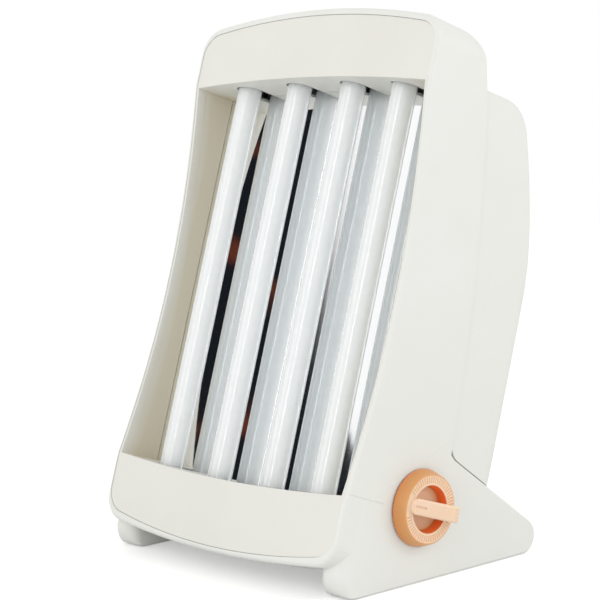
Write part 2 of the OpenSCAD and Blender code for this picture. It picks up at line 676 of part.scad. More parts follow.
// Width of a strap's side and height of its lugs beside the core
lug_w = 40;
lug_h = 14;
core_v = strap_t + seat_gap;
coil_leg = 11;
coil_side = 8;
coil_v = 16;
module choke_frame(i) { translate([choke_place[i - 1][0], ledge_v, choke_place[i - 1][1]]) children(); }
module choke_core(i) {
    color([0.35, 0.36, 0.38]) choke_frame(i) difference() {
        translate([-core_w / 2, core_v, -core_h / 2]) cube([core_w, core_d, core_h]);
        for (s = [-1, 1]) translate([s * (coil_leg + coil_side) / 2, core_v + core_d / 2, 0])
            cube([coil_side, coil_v, core_h + 2], center = true);
    }
}
module choke_coil(i) {
    outer = coil_leg / 2 + coil_side - 0.4;
    inner = coil_leg / 2 + 0.4;
    color([0.72, 0.45, 0.2]) choke_frame(i) difference() {
        into(panel(-outer, -coil_h / 2, outer, coil_h / 2, 5), core_v + core_d / 2 - coil_v / 2 + 0.4,
            core_v + core_d / 2 + coil_v / 2 - 0.4);
        into(panel(-inner, -core_h / 2 - 0.4, inner, core_h / 2 + 0.4, 1), core_v, core_v + core_d);
    }
}
module choke_foot(i) {
    half = core_w / 2 + seat_gap;
    color([0.6, 0.6, 0.6]) choke_frame(i) difference() {
        union() {
            translate([-half, 0, -choke_hole - 6]) cube([2 * half, strap_t, 2 * choke_hole + 12]);
            for (s = [-1, 1]) translate([s > 0 ? half : -half - strap_t, 0, -lug_w / 2]) cube([strap_t,
                lug_h, lug_w]);
        }
        for (s = [-1, 1]) inward(0, -1, s * choke_hole) cylinder(d = choke_screw_d + 2 * seat_gap, h = 4);
    }
}

// Starters and their sockets
starter_u = choke_u + starter_rise;
starter_pitch = (chassis_half - starter_inset) / 1.5;
function starter_x(i) = (i - 2.5) * starter_pitch;
socket_t = 9;
socket_floor = 4;
socket_w = 36;
socket_rim = 2;
stud_pitch = 12.7;
module starter_frame(i) { inward(starter_x(i), ledge_v, starter_u) children(); }
module starter(i) {
    color([0.8, 0.8, 0.78]) starter_frame(i) translate([0, 0, socket_floor + seat_gap]) {
        difference() {
            union() {
                cylinder(d = starter_d, h = starter_len - 2);
                cylinder(d = starter_d - 4, h = starter_len);
            }
            translate([0, 0, 2]) cylinder(d = starter_d - 6, h = starter_len - 4);
        }
        for (s = [-1, 1]) translate([s * stud_pitch / 2, 0, -2.4]) cylinder(d = 4, h = 2.5);
    }
}
module starter_socket(i) {
    color([0.94, 0.93, 0.9]) starter_frame(i) difference() {
        linear_extrude(socket_t) polygon(panel(-socket_w / 2, -starter_d / 2 - socket_rim, socket_w / 2,
            starter_d / 2 + socket_rim, 4));
        translate([0, 0, socket_floor]) cylinder(d = starter_d + 0.5, h = socket_t);
        for (s = [-1, 1]) translate([s * stud_pitch / 2, 0, 1]) cylinder(d = 4.6, h = socket_t);
    }
}
block_x = -60;
block_u = 45;
block_w = 30;
block_t = 12;
block_h = 14;
module terminal_block() {
    color([0.93, 0.93, 0.9]) translate([block_x, ledge_v, block_u]) difference() {
        translate([-block_w / 2, 0, -block_h / 2]) cube([block_w, block_t, block_h]);
        for (i = [-1:1]) {
            translate([i * block_w / 3, block_t / 2, -block_h / 2 - 1]) cylinder(d = 3.4, h = block_h + 2);
            inward(i * block_w / 3, block_t / 2 - 1, 0) cylinder(d = 4, h = block_t);
        }
    }
}

// Timer
plate_t = 1.6;
plate_x = cavity_half - timer_boss - seat_gap - plate_t;
case_x = plate_x - timer_depth;
case_wall = 1.6;
level = case_x + case_wall;
wheel_m = 0.6;
wheel_z = 40;
pinion_z = 10;
last_m = 0.5;
last_z = 36;
last_pinion_z = 9;
arbor_d = 2;
journal_d = 4;
bore_h = 5;
ear_w = 10;
ear_hole_d = 2.9;
ear_screw_d = 2.4;
ear_screw_len = 6;
first_c = wheel_m * (wheel_z + pinion_z) / 2;
last_c = last_m * (last_z + last_pinion_z) / 2;
first_a = 135;
second_at = [first_c * cos(first_a), first_c * sin(first_a)];
last_a = 29.9;
third_at = second_at + [last_c * cos(last_a), last_c * sin(last_a)];
// Children drawn on an axis at [v, u] beside the knob's axis, with x along v, y along u and z running outward
module timer_axis(at, x) { translate([x, timer_v + at[0], timer_u + at[1]]) rotate([90, 0, 90])
    children(); }
// Involute tooth flank angle at radius r for a base radius rb
function inv_angle(r, rb) = r <= rb ? 0 : sqrt(r * r / rb / rb - 1) * 180 / PI - acos(rb / r);
// Gear outline with z teeth of module m, addendum add and dedendum ded, its first tooth turned to angle a0
function gear(z, m, add, ded, a0) =
    let(r = z * m / 2, rb = r * cos(20), ra = r + add, rf = r - ded)
    let(half = 90 / z - 2.2 / r + inv_angle(r, rb), steps = [for (i = [0:4]) max(rf, rb) + (ra - max(rf,
        rb)) * i / 4])
    [for (k = [0:z - 1]) let(a = a0 + 360 * k / z)
        each concat([rf * [cos(a - 180 / z), sin(a - 180 / z)], rf * [cos(a - half), sin(a - half)]],
            [for (q = steps) let(b = a - half + inv_angle(q, rb)) q * [cos(b), sin(b)]],
            [for (q = reversed(steps)) let(b = a + half - inv_angle(q, rb)) q * [cos(b), sin(b)]],
            [rf * [cos(a + half), sin(a + half)]])];
module wheel(points, x0, t) { translate([0, 0, x0]) linear_extrude(t) polygon(points); }
module timer_case() {
    color([0.25, 0.25, 0.27]) difference() {
        translate([case_x, case_v0, case_u0]) cube([timer_depth, timer_w, timer_h]);
        translate([level, case_v0 + case_wall, case_u0 + case_wall])
            cube([timer_depth, timer_w - 2 * case_wall, timer_h - 2 * case_wall]);
        timer_axis([0, 0], case_x - 1) cylinder(d = journal_d + 2 * run_fit, h = bore_h);
        for (p = [second_at, third_at]) timer_axis(p, case_x - 1) cylinder(d = arbor_d + 2 * run_fit,
            h = bore_h);
    }
}
module timer_plate() {
    color([0.75, 0.76, 0.77]) difference() {
        union() {
            translate([plate_x, case_v0, case_u0]) cube([plate_t, timer_w, timer_h]);
            translate([plate_x, ear_v - ear_w / 2, ear_us[0] - ear_w / 2]) cube([plate_t, ear_w,
                ear_us[1] - ear_us[0] + ear_w]);
        }
        timer_axis([0, 0], plate_x - 1) cylinder(d = shaft_d + 2 * run_fit, h = bore_h);
        for (p = [second_at, third_at]) timer_axis(p, plate_x - 1) cylinder(d = arbor_d + 2 * run_fit,
            h = bore_h);
        for (u = ear_us) sideways(plate_x - 1, ear_v, u) cylinder(d = ear_hole_d, h = bore_h);
    }
}
knob_base_x = half_w + knob_gap;
shaft_end = knob_base_x + knob_h - 0.6;
flat_cut = shaft_d / 2 - 0.8;
module timer_shaft() {
    color([0.7, 0.7, 0.68]) difference() {
        union() {
            timer_axis([0, 0], case_x) cylinder(d = journal_d, h = 5);
            timer_axis([0, 0], level + 0.4) cylinder(d = shaft_d, h = shaft_end - level - 0.4);
        }
        timer_axis([0, 0], knob_base_x) translate([-shaft_d - flat_cut, -shaft_d, -0.3]) cube([shaft_d,
            2 * shaft_d, 20]);
    }
}
cam_r = 8;
hub_r = 4.6;
gear_level = 8.5;
cam_level = 18.5;
module timer_cam_wheel() {
    color([0.9, 0.88, 0.8]) timer_axis([0, 0], level) difference() {
        union() {
            wheel(gear(wheel_z, wheel_m, 0.36, 0.8, first_a), gear_level, 2);
            translate([0, 0, gear_level]) cylinder(r = hub_r, h = cam_level + 3 - gear_level);
            translate([0, 0, cam_level]) cylinder(r = cam_r, h = 3);
        }
        translate([0, 0, gear_level - 1]) cylinder(d = shaft_d + 0.04, h = 20);
        translate([cam_r - 1.5, -1.5, cam_level - 1]) cube([3, 3, 5]);
    }
}
module second_wheel() {
    color([0.8, 0.7, 0.4]) timer_axis(second_at, level) {
        wheel(gear(pinion_z, wheel_m, 0.55, 0.62, first_a + 180 + 180 / pinion_z), gear_level - 0.7, 3.4);
        wheel(gear(last_z, last_m, 0.27, 0.68, last_a), gear_level + 4, 1.5);
        translate([0, 0, -case_wall]) cylinder(d = arbor_d, h = timer_depth + plate_t);
        translate([0, 0, gear_level]) cylinder(d = 3.6, h = 5);
    }
}
module governor_wheel() {
    teeth = 15;
    color([0.8, 0.7, 0.4]) timer_axis(third_at, level) {
        wheel(gear(last_pinion_z, last_m, 0.46, 0.52, last_a + 180 + 180 / last_pinion_z),
            gear_level + 3.5, 2.6);
        wheel([for (k = [0:teeth - 1]) each [4.6 * [cos(24 * k), sin(24 * k)], 6 * [cos(24 * k + 14),
            sin(24 * k + 14)],
            6 * [cos(24 * k + 16), sin(24 * k + 16)], 4.6 * [cos(24 * k + 18), sin(24 * k + 18)]]],
                gear_level + 7.5, 1.5);
        translate([0, 0, -case_wall]) cylinder(d = arbor_d, h = timer_depth + plate_t);
        translate([0, 0, gear_level + 5]) cylinder(d = 3, h = 4);
    }
}
module mainspring() {
    turns = 4.5;
    step = 7.4 / turns;
    function coil(k, side) = let(a = 360 * turns * k / 108, r = 3.5 + step * a / 360 + side * 0.25)
        r * [cos(a), sin(a)];
    color([0.45, 0.47, 0.5]) timer_axis([0, 0], level)
        wheel(concat([for (k = [0:108]) coil(k, -1)], [for (k = [108:-1:0]) coil(k, 1)]), 2, 4);
}
module switch_contacts() {
    under = timer_u - cam_r - 0.3;
    color([0.85, 0.75, 0.45]) {
        translate([level, timer_v + 9.6, under - 8]) cube([22.5, 5, 8.2]);
        translate([level + cam_level + 0.5, timer_v - 7, under - 1.6]) cube([2, 16.8, 0.5]);
        translate([level + cam_level + 0.5, timer_v - 1, under - 1.2]) cube([2, 2, 1.2]);
        translate([level + cam_level + 0.5, timer_v - 7, under - 4.6]) cube([2, 16.8, 0.5]);
        translate([level + cam_level + 0.5, timer_v - 6.5, under - 4.2]) cube([2, 2, 1.2]);
    }
}

// Knob, drawn with its base at z = 0, x downward along the tubes and y into the body
dish_r = dish_d / 2;
ring_r = knob_face_d / 2;
tick_w = 0.6;
tick_deep = 0.35;
// Reach of the grip bar's low and high ends from the knob's middle, and width of the index slot in its low end
grip_tail = 17.5;
grip_nose = 19.5;
pointer_w = 1.6;
module timer_knob() {
    r0 = knob_d / 2;
    color([0.93, 0.68, 0.47]) sideways(knob_base_x, timer_v, timer_u) difference() {
        union() {
            rotate_extrude($fn = 96) polygon([[0, 0], [r0, 0], [r0, 1.4], [ring_r + 0.7, knob_h - 0.6],
                [ring_r, knob_h],
                [dish_r + 0.5, knob_h], [dish_r, knob_h - 0.6], [dish_r - 0.8, knob_h - dish_depth], [0,
                    knob_h - dish_depth]]);
            translate([grip_w / 2, 0, 0]) rotate([0, -90, 0]) linear_extrude(grip_w) polygon(rounded([
                [[1, -grip_tail], 0], [[1, grip_nose], 0], [[knob_h + grip_rise - 1.5, grip_nose], 2.5],
                [[knob_h + grip_rise, 13], 3], [[knob_h + 2, 2 - grip_tail], 2.5], [[knob_h + 1,
                    -grip_tail], 0.5]]));
        }
        translate([0, 0, -1]) difference() {
            cylinder(d = shaft_d + 0.06, h = knob_h + 1);
            translate([-shaft_d, -shaft_d - flat_cut - 0.03, 0]) cube([2 * shaft_d, shaft_d, 20]);
        }
        translate([0, 0, -1]) difference() {
            cylinder(r = r0 - 2.2, h = 1.8);
            cylinder(r = shaft_d / 2 + 3, h = 4);
        }
        for (k = [0:tick_count - 1]) rotate(360 * k / tick_count)
            translate([dish_r + 1, -tick_w / 2, knob_h - tick_deep]) cube([ring_r - dish_r - 1.5, tick_w,
                2]);
        translate([-pointer_w / 2, 2.3 - grip_tail, knob_h + 1.2]) cube([pointer_w, 7.5, 8]);
    }
}

// Back cover
cover_half = half_w - cover_step;
cover_top = flank_top[1] - top_step;
cover_apex = hood_low - apex_drop;
// The back is one arc through its furthest point and the point above the floor
cover_sag = cover_back - cover_low_y;
cover_r = (pow(cover_apex - belly_z, 2) + pow(cover_sag, 2)) / (2 * cover_sag);
cover_c = lean(cover_back - cover_r, cover_apex);
function cover_rear(d) =
    let(r = cover_r - d, rt = cover_top_r - d, rb = cover_low_r - d, c = cover_c)
    let(ut = cover_top - d - rt, mt = [c[0] + sqrt(pow(r - rt, 2) - pow(ut - c[1], 2)), ut])
    let(zb = belly_z + d + rb, yb = cover_back - cover_r + sqrt(pow(r - rb, 2) - pow(zb - cover_apex, 2)),
        mb = lean(yb, zb))
    let(at = atan2(mt[1] - c[1], mt[0] - c[0]), ab = atan2(mb[1] - c[1], mb[0] - c[0]))
    concat(arc(mb[0], mb[1], rb, tilt - 90, ab, 7), arc(c[0], c[1], r, ab, at, 18), arc(mt[0], mt[1], rt,
        at, 90, 9),
        [[mt[0], cover_top - d]]);
// The plan view's rear plane lies just behind the curved back, so that the curve alone shapes it
cover_rear_v = cover_c[0] + cover_r + 1;
function cover_front(shift) = concat([[flank_top[0] + shift, cover_top]], [for (p = flank(shift))
    if (p[1] < cover_top - 5) p]);
module cover_plan(d, front) {
    r = cover_side_r;
    h = cover_half - d;
    v1 = cover_rear_v - d;
    upward(concat([[-h, front], [h, front]], arc(h - r + d, v1 - r + d, r - d, 0, 90, 6), [[h - r + d, v1]],
        arc(d + r - h, v1 - r + d, r - d, 90, 180, 6), [[-h, v1 - r + d]]), -near, far);
}
tongue_half = cavity_half - 0.3;
tongue_t = 1.7;
module notch(d) {
    both_sides() across(skid_side(-d), skid_in - d, half_w + 5);
}
cover_inlet = lean(cover_back - cover_r + sqrt(pow(cover_r, 2) - pow(cord_z - cover_apex, 2)), cord_z);
inlet_v = cover_inlet[0];
inlet_u = cover_inlet[1];
inlet_face = inlet_v - 2.6;
inlet_d = cord_d + 3.6;
inlet_t = 2.4;
// Thickness of the cover's posts under the screws' heads, and diameter of the heads
post_seat = 3.5;
screw_head = 6;
vent_low_u = window_low + 39.2;
vent_high_u = window_high - 73;
vent_rows = concat([for (k = [0:vents_low - 1]) vent_low_u + vent_pitch * k],
    [for (k = [0:vents_high - 1]) vent_high_u + vent_pitch * k]);
cover_floor = belly_z + wall + 2.2;
tongue_floor = cavity_floor + 0.3;
// The cover's tongue between two heights, as a band behind and ahead of its front edge
module tongue_band(half, z0, z1) {
    intersection() {
        across(concat(flank(3.5), reversed(flank(-tongue))), -half, half);
        across(above(z0, z1), -half, half);
    }
}
module tongue_arch(d) {
    half = tongue_half - d;
    translate([-half, -near, -far]) cube([2 * half, 2 * far, far + hood_sill - seat_gap - d]);
}
module cover_body() {
    difference() {
        intersection() {
            across(concat(cover_rear(0), cover_front(seat_gap)), -cover_half - 1, cover_half + 1);
            cover_plan(0, -near);
        }
        difference() {
            intersection() {
                across(concat(cover_rear(wall), [[-near, cover_top - wall], [-near, u_at(-near,
                    belly_z + wall)]]), -half_w, half_w);
                across(above(cover_floor, far), -half_w, half_w);
                cover_plan(wall, -2 * near);
            }
            notch(0.4 + wall);
        }
    }
    intersection() {
        tongue_band(tongue_half, behind_low + 1, far);
        difference() {
            tongue_arch(0);
            tongue_arch(tongue_t);
        }
    }
    tongue_band(skid_in - wall - 0.3, tongue_floor, tongue_floor + tongue_t);
}
module back_cover() {
    color([0.9, 0.9, 0.87]) difference() {
        union() {
            difference() {
                cover_body();
                notch(0.4);
            }
            intersection() {
                both_sides() for (u = post_us) inward(fix_x, post_end + 0.3, u) cylinder(d = post_d + 2,
                    h = 80);
                across(cover_rear(0.5), -cover_half, cover_half);
                cover_plan(0.5, -near);
            }
            inward(cord_x, inlet_face - inlet_t, inlet_u) cylinder(d = inlet_d + 11, h = inlet_t);
        }
        both_sides() for (u = post_us) {
            inward(fix_x, post_end, u) cylinder(d = fix_d + 0.5, h = 10);
            inward(fix_x, post_end + post_seat, u) cylinder(d = screw_head + 1, h = 90);
        }
        inward(cord_x, inlet_face, inlet_u) cylinder(d = inlet_d + 7, h = 12);
        inward(cord_x, inlet_face - 8, inlet_u) cylinder(d = inlet_d, h = 20);
        both_sides() for (u = vent_rows) translate([vent_in, 50, u]) cube([vent_w, 60, vent_h]);
    }
}
module cord_grommet() {
    color([0.15, 0.15, 0.15]) inward(cord_x, inlet_face, inlet_u) difference() {
        union() {
            translate([0, 0, seat_gap]) cylinder(d = inlet_d + 5, h = 1.6);
            translate([0, 0, -inlet_t - seat_gap - 1.5]) cylinder(d = inlet_d - 0.2,
                h = inlet_t + 2 + 2 * seat_gap);
            translate([0, 0, -inlet_t - seat_gap - 1.5]) cylinder(d = inlet_d + 3, h = 1.5);
        }
        translate([0, 0, -10]) cylinder(d = cord_d, h = 20);
    }
}

// Internal wiring, as flat tied bundles
loom_v = ledge_v + seat_gap;
loom_w = 3.6;
loom_t = 3;
// Distance of the holders' loom beyond the last holder, and of a starter's branch below its can
loom_side = 5;
loom_below = 8;
mains_w = 5;
module mains_loom() {
    color([0.35, 0.35, 0.4]) {
        across(strip([[inlet_face - inlet_t - 3, inlet_u - 1], [52, 53], [26, block_u],
            [ledge_v + block_t + seat_gap, block_u]], mains_w), block_x - mains_w / 2,
                block_x + mains_w / 2);
        into(strip([[block_x + block_w / 2 + seat_gap, block_u], [40, block_u], [case_x - 0.3,
            case_u0 + 8]], 4),
            ledge_v + 6, ledge_v + 10);
    }
}
module holder_loom() {
    end = flange_w - loom_drop;
    x = -tube_x_outer - holder_w / 2 - loom_side;
    last = tube_x_outer + wire_hole_x + loom_t;
    color([0.85, 0.85, 0.88]) {
        into(strip([[last, mid_u + end], [x, mid_u + end], [x, mid_u - end], [last, mid_u - end]], loom_w),
            loom_v, loom_v + loom_t);
        for (side = [-1, 1]) at_end(side) for (p = tube_place)
            translate([p[0] + wire_hole_x - loom_t / 2, -2, end - loom_t / 2]) cube([loom_t, loom_v + 2.5,
                loom_t]);
    }
}
module starter_loom() {
    u = starter_u - starter_d / 2 - loom_below;
    clear = 4;
    color([0.3, 0.32, 0.55]) {
        into(strip([[starter_x(1), u], [starter_x(4), u]], loom_w), loom_v, loom_v + loom_t);
        for (i = [1:4]) translate([starter_x(i) - loom_t / 2, loom_v, u])
            cube([loom_t, loom_t, starter_u - starter_d / 2 - socket_rim - seat_gap - u]);
        for (c = choke_place) translate([c[0] - loom_t / 2, loom_v + 2, c[1] + choke_hole + clear])
            cube([loom_t, loom_t, u - c[1] - choke_hole - clear]);
    }
}

// Fasteners
module cover_screws() {
    color([0.6, 0.6, 0.58]) both_sides() for (u = post_us)
        inward(fix_x, post_end + post_seat, u) screw(fix_d - 0.1, 16, screw_head, 2.2);
}
module chassis_screws() {
    color([0.7, 0.7, 0.68]) both_sides() for (u = fix_us)
        inward(fix_x, ledge_v + ledge_t, u) screw(fix_d - 0.1, 14, screw_head, 2.2);
}
module choke_screws() {
    color([0.7, 0.7, 0.68]) for (c = choke_place, s = [-1, 1])
        inward(c[0], ledge_v + strap_t, c[1] + s * choke_hole) screw(choke_screw_d,
            strap_t + chassis_t - 0.1, screw_head, 2);
}
module timer_screws() {
    color([0.7, 0.7, 0.68]) for (u = ear_us) translate([plate_x, ear_v, u]) rotate([0, -90, 0])
        screw(ear_screw_d, ear_screw_len, 5, 1.8);
}

placed() outer_housing();
placed() front_frame();
placed() back_cover();
placed() mirror_reflector();
placed() chassis();
placed() tube_glass(1);  // tube_glass_1
placed() tube_glass(2);  // tube_glass_2
placed() tube_glass(3);  // tube_glass_3
placed() tube_glass(4);  // tube_glass_4
placed() tube_caps(1);  // tube_caps_1
placed() tube_caps(2);  // tube_caps_2
placed() tube_caps(3);  // tube_caps_3
placed() tube_caps(4);  // tube_caps_4
placed() holder_rotors(1);  // holder_rotors_1
placed() holder_rotors(2);  // holder_rotors_2
placed() holder_rotors(3);  // holder_rotors_3
placed() holder_rotors(4);  // holder_rotors_4
placed() lamp_holder(1, -1);  // lower_holder_1
placed() lamp_holder(2, -1);  // lower_holder_2
placed() lamp_holder(3, -1);  // lower_holder_3
placed() lamp_holder(4, -1);  // lower_holder_4
placed() lamp_holder(1, 1);  // upper_holder_1
placed() lamp_holder(2, 1);  // upper_holder_2
placed() lamp_holder(3, 1);  // upper_holder_3
placed() lamp_holder(4, 1);  // upper_holder_4
placed() choke_core(1);  // choke_core_1
placed() choke_core(2);  // choke_core_2
placed() choke_coil(1);  // choke_coil_1
placed() choke_coil(2);  // choke_coil_2
placed() choke_foot(1);  // choke_foot_1
placed() choke_foot(2);  // choke_foot_2
placed() starter(1);  // starter_1
placed() starter(2);  // starter_2
placed() starter(3);  // starter_3
placed() starter(4);  // starter_4
placed() starter_socket(1);  // starter_socket_1
placed() starter_socket(2);  // starter_socket_2
placed() starter_socket(3);  // starter_socket_3
placed() starter_socket(4);  // starter_socket_4
placed() terminal_block();
placed() timer_case();
placed() timer_plate();
placed() timer_shaft();
placed() timer_cam_wheel();
placed() second_wheel();
placed() governor_wheel();
placed() mainspring();
placed() switch_contacts();
placed() timer_knob();
placed() cord_grommet();
placed() mains_loom();
placed() holder_loom();
placed() starter_loom();
placed() cover_screws();
placed() chassis_screws();
placed() choke_screws();
placed() timer_screws();
placed() skid_pads();
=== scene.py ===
import math

import bmesh
import bpy
import numpy as np
from mathutils import Matrix, Vector


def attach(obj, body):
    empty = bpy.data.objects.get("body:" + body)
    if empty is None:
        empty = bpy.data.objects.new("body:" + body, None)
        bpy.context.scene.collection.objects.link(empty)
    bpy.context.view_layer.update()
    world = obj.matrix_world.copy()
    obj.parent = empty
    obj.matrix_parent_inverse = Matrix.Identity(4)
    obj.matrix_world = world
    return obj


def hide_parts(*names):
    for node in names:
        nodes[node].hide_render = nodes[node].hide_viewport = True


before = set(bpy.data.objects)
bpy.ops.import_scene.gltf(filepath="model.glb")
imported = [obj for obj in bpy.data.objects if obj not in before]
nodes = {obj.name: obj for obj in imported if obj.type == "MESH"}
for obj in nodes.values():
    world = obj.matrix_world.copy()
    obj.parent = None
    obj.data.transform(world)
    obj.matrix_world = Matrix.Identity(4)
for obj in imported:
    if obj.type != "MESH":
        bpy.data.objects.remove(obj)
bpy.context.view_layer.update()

# Outer housing: one injection moulding in cream-white plastic with a fine satin grain.
# It is the shell of the lamp with its hood and both skids in one piece, and every outer edge
# is rounded in the mould. The construction's own walls are kept here and their edges rounded.
TILT = math.radians(17.8)
CT, ST = math.cos(TILT), math.sin(TILT)
ORIGIN = np.array([8.8, 65.40356, 0.0])
HALF_W = 111.0
FRONT_REACH, FRONT_LOW, FRONT_TOP, FRONT_HOLLOW = 29.2, 6.9, 359.4, 11.0
WINDOW_LOW, WINDOW_HIGH = 56.8, 309.0
CROWN_R, BELLY_R, CORNER_R = 560.0, 780.0, 17.0
BELLY_Z, HOOD_BACK, HOOD_LOW = 14.5, 118.5, 296.0
FLANK_Y, FLANK_BOW, FLANK_R = 79.0, 5.6, 14.0
SKID_W, SKID_REACH, SKID_TAIL, SKID_SLOPE = 20.8, 21.4, 180.0, 35.9
NOSE_R, TAIL_R, SKID_ROUND, BELLY_ROUND = 14.0, 11.5, 2.0, 2.0
# Roundings of the front edge and of the hood's rear edge, and what each gains where the edge lies level
RIM_ROUND, RIM_MORE, RIM_DEEP, HOOD_ROUND, HOOD_MORE, REAR_ROUND = 1.9, 1.0, 3.2, 2.0, 11.0, 0.5
ENVELOPE_FROM, BELLY_WIDER, BELLY_LOWER = -60.0, 0.09, 0.07
SHELL_WHITE = (0.805, 0.820, 0.790)


def placed(x, v, u):
    """Across, into the body and up along the tubes, in mm, to metres on the table: a turn and a shift."""
    x, v, u = np.broadcast_arrays(x, v, u)
    out = np.stack([x, v * CT + u * ST, u * CT - v * ST], axis=-1).astype(float)
    return (out - ORIGIN) / 1000.0


def standing(x, y, z):
    """Across, back and up from the table, in mm, to metres on the table: a shift alone."""
    x, y, z = np.broadcast_arrays(x, y, z)
    return (np.stack([x, y, z], axis=-1).astype(float) - ORIGIN) / 1000.0


def leaning(y, z):
    """A point given behind and above the table's origin, in the leaning axes: the turn back."""
    return np.array([y * CT - z * ST, y * ST + z * CT])


def arc(cx, cy, r, a0, a1, n, closed=False):
    """n equal steps on a circle from a0 to a1 degrees, with the last point only when closed."""
    a = np.radians(np.linspace(a0, a1, n + 1)[: n + 1 if closed else n])
    return np.column_stack([cx + r * np.cos(a), cy + r * np.sin(a)])


def barrel(half, top, low, top_r, low_r, cr, side=14, bend=12, crown=16):
    """Front outline from the bottom's middle round the right side to the top's middle, then mirrored:
    straight sides, arched top and bottom, and corner circles tangent to both."""
    k, cy, cl = half - cr, top - top_r, low + low_r
    yt = cy + math.sqrt((top_r - cr) ** 2 - k * k)
    yl = cl - math.sqrt((low_r - cr) ** 2 - k * k)
    at, al = math.degrees(math.atan2(yt - cy, k)), math.degrees(math.atan2(yl - cl, k))
    up = np.column_stack([np.full(side, half), np.linspace(yl, yt, side, endpoint=False)])
    right = np.vstack([arc(0, cl, low_r, -90, al, crown), arc(k, yl, cr, al, 0, bend), up,
                       arc(k, yt, cr, 0, at, bend), arc(0, cy, top_r, at, 90, crown, True)])
    return np.vstack([right, right[-2:0:-1] * [-1, 1]])


def rounded(corners, step):
    """Closed outline through (x, y, radius) corners: each is the circle tangent to both its sides, in steps
    of so many degrees."""
    p = np.array([c[:2] for c in corners], dtype=float)
    out = []
    for (a, b, c, r) in zip(np.roll(p, 1, 0), p, np.roll(p, -1, 0), [c[2] for c in corners]):
        d, e = (a - b) / np.linalg.norm(a - b), (c - b) / np.linalg.norm(c - b)
        half = math.acos(np.clip(d @ e, -1, 1)) / 2
        if r <= 0 or half > 1.565:
            out.append(b[None])
            continue
        m = b + (d + e) / np.linalg.norm(d + e) * r / math.sin(half)
        s, f = b + d * r / math.tan(half) - m, b + e * r / math.tan(half) - m
        a0, a1 = math.degrees(math.atan2(s[1], s[0])), math.degrees(math.atan2(f[1], f[0]))
        turn = (a1 - a0 + 540) % 360 - 180
        out.append(arc(m[0], m[1], r, a0, a0 + turn, max(3, math.ceil(abs(turn) / step)), True))
    return np.vstack(out)


def outward(loop):
    """Unit normals of a closed counterclockwise outline: the way between both neighbours, turned right."""
    way = np.roll(loop, -1, axis=0) - np.roll(loop, 1, axis=0)
    way /= np.maximum(np.linalg.norm(way, axis=1, keepdims=True), 1e-9)
    return np.column_stack([way[:, 1], -way[:, 0]])


def linked(name, data):
    """A new object in the scene, with the given mesh, lamp or camera."""
    obj = bpy.data.objects.new(name, data)
    bpy.context.collection.objects.link(obj)
    return obj


def sheet_mesh(name, grid, around=False, along=False, caps=None, flip=False):
    """A mesh from points on a grid (rows, columns, 3), one quad between each four neighbours. It may close
    around its columns or along its rows. Flat caps fill the end rows with one face, mirrored ones with
    strips across."""
    grid = np.asarray(grid, dtype=float)
    rows, cols = grid.shape[:2]
    i, j = np.arange(rows if along else rows - 1), np.arange(cols if around else cols - 1)
    ii, jj = np.meshgrid(i, j, indexing="ij")
    i2, j2 = (ii + 1) % rows, (jj + 1) % cols
    quads = [ii * cols + jj, ii * cols + j2, i2 * cols + j2, i2 * cols + jj]
    quads = np.stack(quads, axis=-1).reshape(-1, 4)
    faces = (quads[:, ::-1] if flip else quads).tolist()
    if caps:
        near = [list(range(cols))] if caps == "flat" else (
            [[0, 1, cols - 1]] + [[k, k + 1, cols - k - 1, cols - k] for k in range(1, cols // 2 - 1)]
            + [[cols // 2 - 1, cols // 2, cols // 2 + 1]])
        last = (rows - 1) * cols
        for face in near:
            faces.append(face if flip else face[::-1])
            faces.append([last + k for k in (face[::-1] if flip else face)])
    mesh = bpy.data.meshes.new(name)
    mesh.from_pydata(grid.reshape(-1, 3).tolist(), [], faces)
    mesh.update()
    return linked(name, mesh)


def faced_out(obj):
    """The same object with all its faces turned outwards."""
    work = bmesh.new()
    work.from_mesh(obj.data)
    bmesh.ops.recalc_face_normals(work, faces=work.faces)
    work.to_mesh(obj.data)
    work.free()
    return obj


def merged_copy(name, node, flat=None):
    """A copy of a construction node with its doubled corners joined, and its flat runs of triangles made one
    face each where an angle in degrees is given."""
    mesh = nodes[node].data.copy()
    mesh.name = name
    spare = ("custom_normal", "sharp_edge", "sharp_face")
    for key in [a.name for a in mesh.attributes if a.name in spare]:
        mesh.attributes.remove(mesh.attributes[key])
    mesh.materials.clear()
    work = bmesh.new()
    work.from_mesh(mesh)
    bmesh.ops.remove_doubles(work, verts=work.verts, dist=2e-6)
    if flat is not None:
        bmesh.ops.dissolve_limit(work, angle_limit=math.radians(flat), verts=work.verts,
                                 edges=work.edges)
    work.to_mesh(mesh)
    work.free()
    return linked(name, mesh)


def carved(obj, tool, how):
    """Joins a tool's shape to an object's mesh, takes it away, or keeps what both have in common."""
    step = obj.modifiers.new("carve", "BOOLEAN")
    step.operation, step.object, step.solver = how, tool, "MANIFOLD"
    mesh = bpy.data.meshes.new_from_object(obj.evaluated_get(bpy.context.evaluated_depsgraph_get()))
    obj.modifiers.clear()
    obj.data = mesh
    bpy.data.objects.remove(tool)


def wear_material(obj, material):
    """The one material of an object, on all its faces."""
    obj.data.materials.clear()
    obj.data.materials.append(material)
    obj.data.polygons.foreach_set("material_index", np.zeros(len(obj.data.polygons), dtype=np.int32))
    obj.data.update()


def smooth_faces(obj, angle=30.0):
    """Smooth shading up to an angle between faces, with each corner's normal led by the larger faces."""
    mesh = obj.data
    mesh.polygons.foreach_set("use_smooth", np.ones(len(mesh.polygons), dtype=bool))
    mesh.set_sharp_from_angle(angle=math.radians(angle))
    step = obj.modifiers.new("even_shading", "WEIGHTED_NORMAL")
    step.keep_sharp, step.weight = True, 60


